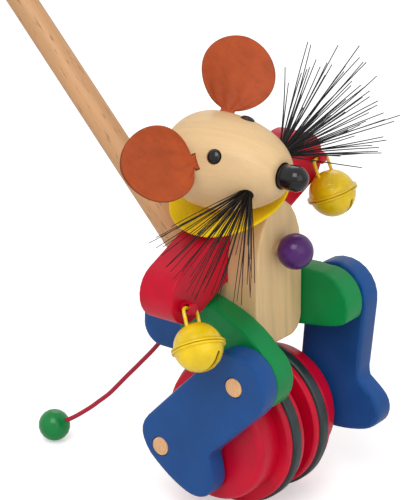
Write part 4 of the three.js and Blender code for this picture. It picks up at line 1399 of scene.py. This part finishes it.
@dataclass(frozen=True)
class Ears:
    """The leather ears: round leaves, pinched to a stem that stands in a slot.

    Attributes:
        at: Y of each stem, right and left, and its angle up in degrees.
        reach: The way each leaf reaches, right and left, as parts out, back and up.
        face: The way each leaf faces, right and left, as parts out, back and up.
        length: A leaf's length from the head.
        width: Its width.
        stem: Half its stem's width.
        tab: How deep it goes into the head.
        thickness: The leather's thickness.
        cup: Depth of its cup at the widest place.
        pinch: How much deeper the cup is at the stem.
        fold: Height of the creases at the stem.
        fade: Length over which the creases fade.
        ripple: How far the rim waves.
        burnish: Width of the dark rim.
        gap: Clearance of the stem in its slot, and how much more it has on the leaf's open side.
    """

    at: tuple[Pair, Pair] = ((2.8, 37.5), (7.5, 43.0))
    reach: tuple[Place, Place] = ((0.81, 0.41, 0.42), (0.82, 0.1, 0.56))
    face: tuple[Place, Place] = ((0.35, -0.58, 0.72), (0, -0.62, 0.78))
    length: float = 39.5
    width: float = 38.5
    stem: float = 4.0
    tab: float = 6.0
    thickness: float = 1.8
    cup: float = 3.4
    pinch: float = 2.2
    fold: float = 0.9
    fade: float = 10.0
    ripple: float = 0.7
    burnish: float = 0.9
    gap: Pair = (0.3, 0.5)

    def stand(self, head: Head, rocker: Rocker, side: Side) -> Stand:
        """Returns a leaf's frame: X along it, Y across it and Z the way it faces.

        Args:
            head: The head.
            rocker: The frame it stands in.
            side: Which side.
        """
        mirror = Vector((side.value, 1, 1))
        which = 0 if side is Side.RIGHT else 1
        along = (Vector(self.reach[which]) * mirror).normalized()
        face = (Vector(self.face[which]) * mirror).normalized()
        face = (face - along * face.dot(along)).normalized()
        turn = Matrix((along, face.cross(along), face)).transposed().to_4x4()
        return rocker.stand().then(Matrix.Translation(head.on(*self.at[which], side)[0]) @ turn)

    def slot(self) -> Mesh:
        """Returns the shape of a stem's slot."""
        gap, more = self.gap
        y, low, high = self.stem + gap, -self.thickness / 2 - gap, self.thickness / 2 + gap + more
        ring = np.array([(-y, low), (y, low), (y, high), (-y, high)])
        ends = np.array([-self.tab - gap, 7.0])
        across, out = (np.tile(ring[:, axis], (2, 1)) for axis in (0, 1))
        return Mesh.grid(np.stack([np.repeat(ends[:, None], 4, 1), across, out], -1), wrap=True, caps=True)

    def leaf(self, phase: float) -> tuple[Mesh, Array]:
        """Returns a leaf and how near each of its points is to its cut edge, 0 to 1.

        At x along it, a circle of radius width / 2 gives half its width, joined to the stem's by a sum of
        cubes. At u across, -1 to 1, it stands at cup · p · (u · half / R)^2, plus creases of
        fold · exp(-x / fade) · cos(4 pi u + phase) and a rim that waves a little, where
        p = 1 + pinch · (1 - x / length)^3. Half its thickness follows a quarter round at the edge.

        Args:
            phase: Phase of the creases and the rim's wave.
        """
        radius = self.width / 2
        middle = self.length - radius
        round_part = middle - radius * np.cos(np.linspace(0.16, np.pi, 44))
        x = np.concatenate([np.linspace(-self.tab, 0.5, 8), round_part])
        arc = np.sqrt(np.maximum(0, radius ** 2 - (x - middle) ** 2)) * (x > middle - radius)
        stem = self.stem * np.exp(-np.maximum(0, x) / 4)
        half = np.cbrt(arc ** 3 + stem ** 3)
        u = np.sin(np.linspace(-1, 1, 41) * np.pi / 2)
        loop = np.concatenate([u, u[::-1]])
        face = np.repeat([1.0, -1.0], u.size)
        y = half[:, None] * loop
        edge = self.thickness / 2
        inward = np.clip((np.abs(y) - half[:, None] + edge) / edge, 0, 1)
        thick = edge * np.sqrt(1 - inward ** 2)
        deep = 1 + self.pinch * (1 - np.maximum(0, x) / self.length) ** 3
        cup = self.cup * deep[:, None] * (y / radius) ** 2
        out = np.clip(x / 6, 0, 1)[:, None]
        fading = np.exp(-np.maximum(0, x) / self.fade)[:, None]
        crease = self.fold * out * fading * np.cos(4 * np.pi * loop + phase)
        around = np.arctan2(y, (x - middle)[:, None])
        far = np.clip(np.hypot(y, (x - middle)[:, None]) / radius, 0, 1)
        wave = self.ripple * out * far ** 4 * np.sin(3 * around + phase)
        z = cup + crease + wave + face * thick
        near = np.minimum(half[:, None] - np.abs(y), radius * (1 - far) + 9 * (x < middle)[:, None])
        rim = np.exp(-np.maximum(0, near) / self.burnish)
        points = np.stack([np.repeat(x[:, None], loop.size, 1), y, z], -1)
        return Mesh.grid(points, wrap=True, caps=True), rim.ravel()

    def build(self, palette: Palette, head: Head, rocker: Rocker) -> None:
        """Makes both ears.

        Args:
            palette: The materials.
            head: The head.
            rocker: The frame they stand in.
        """
        for side in Side:
            mesh, rim = self.leaf(0.6 + side.value)
            node = f"ear_{side.word}"
            stand = self.stand(head, rocker, side)
            piece = mesh.object(f"{node}_dressed", palette.leather, stand, 70, {"rim": rim})
            show(piece, "rocker", "leather", node)


@dataclass(frozen=True)
class Bells:
    """The jingle bells, each on a wire loop through a peg of the arm.

    Attributes:
        radius: A bell's radius.
        wall: Its wall.
        lip: Radius and thickness of its seam's flange.
        drop: From the peg's cross hole to its centre.
        slit: Width of its slit, and how far it climbs each side in degrees.
        face: Y of the arm's front.
        hole: The cross hole's distance from that, and its radius.
        peg: The peg's radius, how far it stands proud, and Y of its back end.
        wire: Radius of the loop's wire.
        loop: Half the loop's width, and the radius of its corners.
        lean: How each bell leans out and forward, right and left, in degrees.
        swing: How far a bell swings forward from there, in degrees.
        seam: Half the seam between its halves.
    """

    radius: float = 12.5
    wall: float = 0.9
    lip: Pair = (13.8, 1.2)
    drop: float = 20.3
    slit: Pair = (2.2, 66.0)
    face: float = -0.9
    hole: Pair = (3.7, 2.0)
    peg: Place = (3.2, 6.7, 20.3)
    wire: float = 0.9
    loop: Pair = (5.8, 2.6)
    lean: tuple[Pair, Pair] = ((22.1, 31.1), (5.8, 20.8))
    swing: float = 50.0
    seam: float = 0.12

    def hang(self, rocker: Rocker, side: Side, swing: float = 0.0) -> Stand:
        """Returns the frame that a bell hangs in, from its cross hole down.

        Args:
            rocker: The frame of the arms.
            side: Which side.
            swing: How far the bell has swung forward, in degrees.
        """
        (x, z), (out, forward) = rocker.peg(side), self.lean[list(Side).index(side)]
        hole = Matrix.Translation((x, self.face - self.hole[0], z))
        outward = Matrix.Rotation(math.radians(-side.value * out), 4, "Y")
        return Stand(hole @ outward @ Matrix.Rotation(math.radians(-forward - swing), 4, "X"))

    def passing(self, rocker: Rocker, side: Side, stand: Stand) -> Array:
        """Returns the places of a bell's centre as it swings, one a row.

        Args:
            rocker: The frame of the arms.
            side: Which side.
            stand: The frame that the places are given in.
        """
        here = stand.matrix.inverted()
        swings = np.linspace(0, self.swing, 11)
        centre = Vector((0, 0, -self.drop))
        return np.array([here @ self.hang(rocker, side, swing).matrix @ centre for swing in swings])

    def shell(self, sign: int) -> Profile:
        """Returns the profile of one half.

        Args:
            sign: 1 for the upper half, -1 for the lower.
        """
        rise = np.linspace(0.16, np.pi / 2, 28)
        inside = self.radius - self.wall
        outer = [(self.radius * math.sin(a), self.radius * math.cos(a)) for a in rise]
        inner = [(inside * math.sin(a), inside * math.cos(a)) for a in rise[::-1]]
        reach, thick = self.lip
        half = thick / 2
        edge = [
            point for start in (-90, 0)
            for point in quarter(self.seam + half, reach - half, half, start, 5)
        ]
        points = [*inner, (self.seam, inside), *edge, (thick + 0.3, self.radius + 0.15), *outer]
        return [(sign * height, radius) for height, radius in points]

    def build(self, palette: Palette, rocker: Rocker) -> None:
        """Makes both bells, their loops and pegs.

        Args:
            palette: The materials.
            rocker: The frame of the arms.
        """
        for side, (out, _) in zip(Side, self.lean):
            x, z = rocker.peg(side)
            turn = Matrix.Rotation(math.radians(-side.value * out), 4, "Y")
            self.build_peg(palette, side, Stand(Matrix.Translation((x, 0, z)) @ turn))
            self.build_bell(palette, side, self.hang(rocker, side))

    def build_peg(self, palette: Palette, side: Side, stand: Stand) -> None:
        """Makes a peg with its cross hole.

        Args:
            palette: The materials.
            side: Which side.
            stand: Its frame, with its axis along Y.
        """
        radius, proud, back = self.peg
        tip = self.face - proud
        front = [(tip, 0), (tip, radius - 1), *quarter(tip + 1, radius - 1, 1, -90, 5)[1:]]
        profile = [*front, (back - 0.4, radius), (back, radius - 0.4), (back, 0)]
        along = stand.inside((0, 0, 0), (0, 1, 0))
        piece = lathe(f"bell_peg_{side.word}_dressed", profile, 48, palette.red, along)
        depth, bore = self.hole
        across = stand.inside((0, self.face - depth, 0), (1, 0, 0))
        tool = lathe("tool", [(-6, 0), (-6, bore), (6, bore), (6, 0)], 32, palette.red, across)
        show(cut(piece, tool), f"peg_{side.word}", "red_paint", f"bell_peg_{side.word}")

    def build_bell(self, palette: Palette, side: Side, hang: Stand) -> None:
        """Makes a bell with its slit, and its loop.

        Args:
            palette: The materials.
            side: Which side.
            hang: The frame it hangs in, from the cross hole down.
        """
        body, centre = f"bell_{side.word}", hang.then(Matrix.Translation((0, 0, -self.drop)))
        upper = lathe(f"bell_upper_{side.word}_dressed", self.shell(1), 72, palette.enamel, centre)
        show(upper, body, "yellow_metal", f"bell_upper_{side.word}")
        lower = lathe(f"bell_lower_{side.word}_dressed", self.shell(-1), 72, palette.enamel, centre)
        width, climb = self.slit
        reach = self.radius * math.sin(math.radians(climb)) - width / 2
        turns = np.linspace(0, np.pi, 13)
        turns = np.concatenate([turns, turns + np.pi])
        ring = width / 2 * np.stack([np.cos(turns), np.sin(turns)], -1)
        ring[:, 1] += np.repeat([reach, -reach], 13)
        heights = np.repeat(np.array([-self.radius - 1, -1.6])[:, None], ring.shape[0], 1)
        ends = np.concatenate([np.tile(ring, (2, 1, 1)), heights[..., None]], -1)
        cut(lower, Mesh.grid(ends, wrap=True, caps=True).object("tool", palette.enamel, centre))
        show(lower, body, "yellow_metal", f"bell_lower_{side.word}")
        CadNode(f"bell_pellet_{side.word}").dress(palette.enamel)
        half, bend = self.loop
        foot = math.sqrt(self.radius ** 2 - half ** 2) - self.drop - 0.4
        legs = np.linspace(foot, -bend, 6)
        left = [(-half, z) for z in legs]
        left += [
            (-half + bend - bend * math.cos(a), -bend + bend * math.sin(a))
            for a in np.linspace(0, math.pi / 2, 9)[1:]
        ]
        line = left + [(0.0, 0.0)] + [(-px, pz) for px, pz in reversed(left)]
        route = np.array([(px, 0, pz) for px, pz in line])
        tube = Mesh.tube(route, np.full(len(route), self.wire), 14)
        wire = tube.object(f"bell_loop_{side.word}_dressed", palette.enamel, hang, 60)
        show(wire, body, "yellow_metal", f"bell_loop_{side.word}")


@dataclass(frozen=True)
class Studio:
    """A white floor and soft light, mostly from the upper left.

    Attributes:
        floor: Height of the floor in the toy's frame.
        reach: How far the floor reaches to each side.
        ambient: Strength of the world's light.
        lamps: Each lamp's offset from the toy in metres, size in metres and power in watts.
    """

    floor: float = -41.2
    reach: float = 9000.0
    ambient: float = 0.56
    lamps: tuple[tuple[Place, float, float], ...] = (
        ((-0.9, -0.35, 1.25), 0.9, 12.5),
        ((-0.5, -1.6, 0.7), 1.4, 6.0),
        ((1.2, 0.9, 1.3), 0.9, 4.0),
    )

    def build(self) -> None:
        """Makes floor, world and lamps."""
        self.build_floor()
        self.build_world()
        centre = PLACE.point((0, 0, 80))
        for number, (offset, size, power) in enumerate(self.lamps):
            light = bpy.data.lights.new(f"lamp_{number}", "AREA")
            light.size, light.energy = size, power
            lamp = bpy.data.objects.new(f"lamp_{number}", light)
            bpy.context.scene.collection.objects.link(lamp)
            lamp.location = centre + Vector(offset)
            lamp.rotation_mode = "QUATERNION"
            lamp.rotation_quaternion = (-Vector(offset)).to_track_quat("-Z", "Y")
        bpy.context.scene.view_settings.view_transform = "Standard"

    def build_floor(self) -> None:
        """Makes the floor, lifted a little towards white where the camera sees it."""
        graph = Graph("floor")
        seen = graph.add("ShaderNodeLightPath").outputs["Is Camera Ray"]
        graph.set(graph.shader.inputs["Emission Color"], (1, 1, 1, 1))
        graph.set(graph.shader.inputs["Emission Strength"], graph.between(seen, 0, 1, (0, 0.42)))
        material = graph.finish((0.86, 0.86, 0.86, 1), 0.9)
        ends = (-self.reach, self.reach)
        corners = np.array([[(x, y, 0) for x in ends] for y in ends])
        level = Stand(Matrix.Translation((0, 0, self.floor)))
        Mesh.grid(corners, False).object("floor", material, level)

    def build_world(self) -> None:
        """Makes the world: plain light, and white where it is seen, mirrored or through something."""
        world = bpy.data.worlds.new("studio")
        bpy.context.scene.world = world
        world.use_nodes = True
        tree = world.node_tree
        path = tree.nodes.new("ShaderNodeLightPath")
        seen = path.outputs["Is Camera Ray"]
        for name in ("Is Glossy Ray", "Is Transmission Ray"):
            either = tree.nodes.new("ShaderNodeMath")
            either.operation = "MAXIMUM"
            tree.links.new(seen, either.inputs[0])
            tree.links.new(path.outputs[name], either.inputs[1])
            seen = either.outputs[0]
        strength = tree.nodes.new("ShaderNodeMapRange")
        strength.inputs["To Min"].default_value = self.ambient
        tree.links.new(seen, strength.inputs["Value"])
        background = tree.nodes["Background"]
        background.inputs["Color"].default_value = (1, 1, 1, 1)
        tree.links.new(strength.outputs["Result"], background.inputs["Strength"])


def main() -> None:
    """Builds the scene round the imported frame."""
    logging.basicConfig(level=logging.INFO, format="%(message)s")
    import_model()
    View().build()
    palette = Palette()
    tail = Tail()
    tail.build(palette)
    LOG.info("tail: %.1f mm of cord", tail.length())
    rocker, head, whiskers, ears = Rocker(), Head(), Whiskers(), Ears()
    Frame().build(palette)
    LOG.info("torso, rump, hanger, thighs, legs and arms")
    STICK.build(palette)
    LOG.info("stick: %.0f mm", STICK.length)
    Wheels().build(palette)
    LOG.info("wheels and tyres")
    Dowels().build(palette)
    Belly().build(palette)
    LOG.info("dowels and belly ball")
    Collar().build(palette, rocker)
    head.build(palette, rocker, whiskers, ears)
    LOG.info("collar, head, nose and eyes")
    bells = Bells()
    whiskers.build(palette, head, rocker, bells)
    ears.build(palette, head, rocker)
    LOG.info("whiskers and ears")
    bells.build(palette, rocker)
    LOG.info("bells")
    Studio().build()


if __name__ == "__main__":
    main()
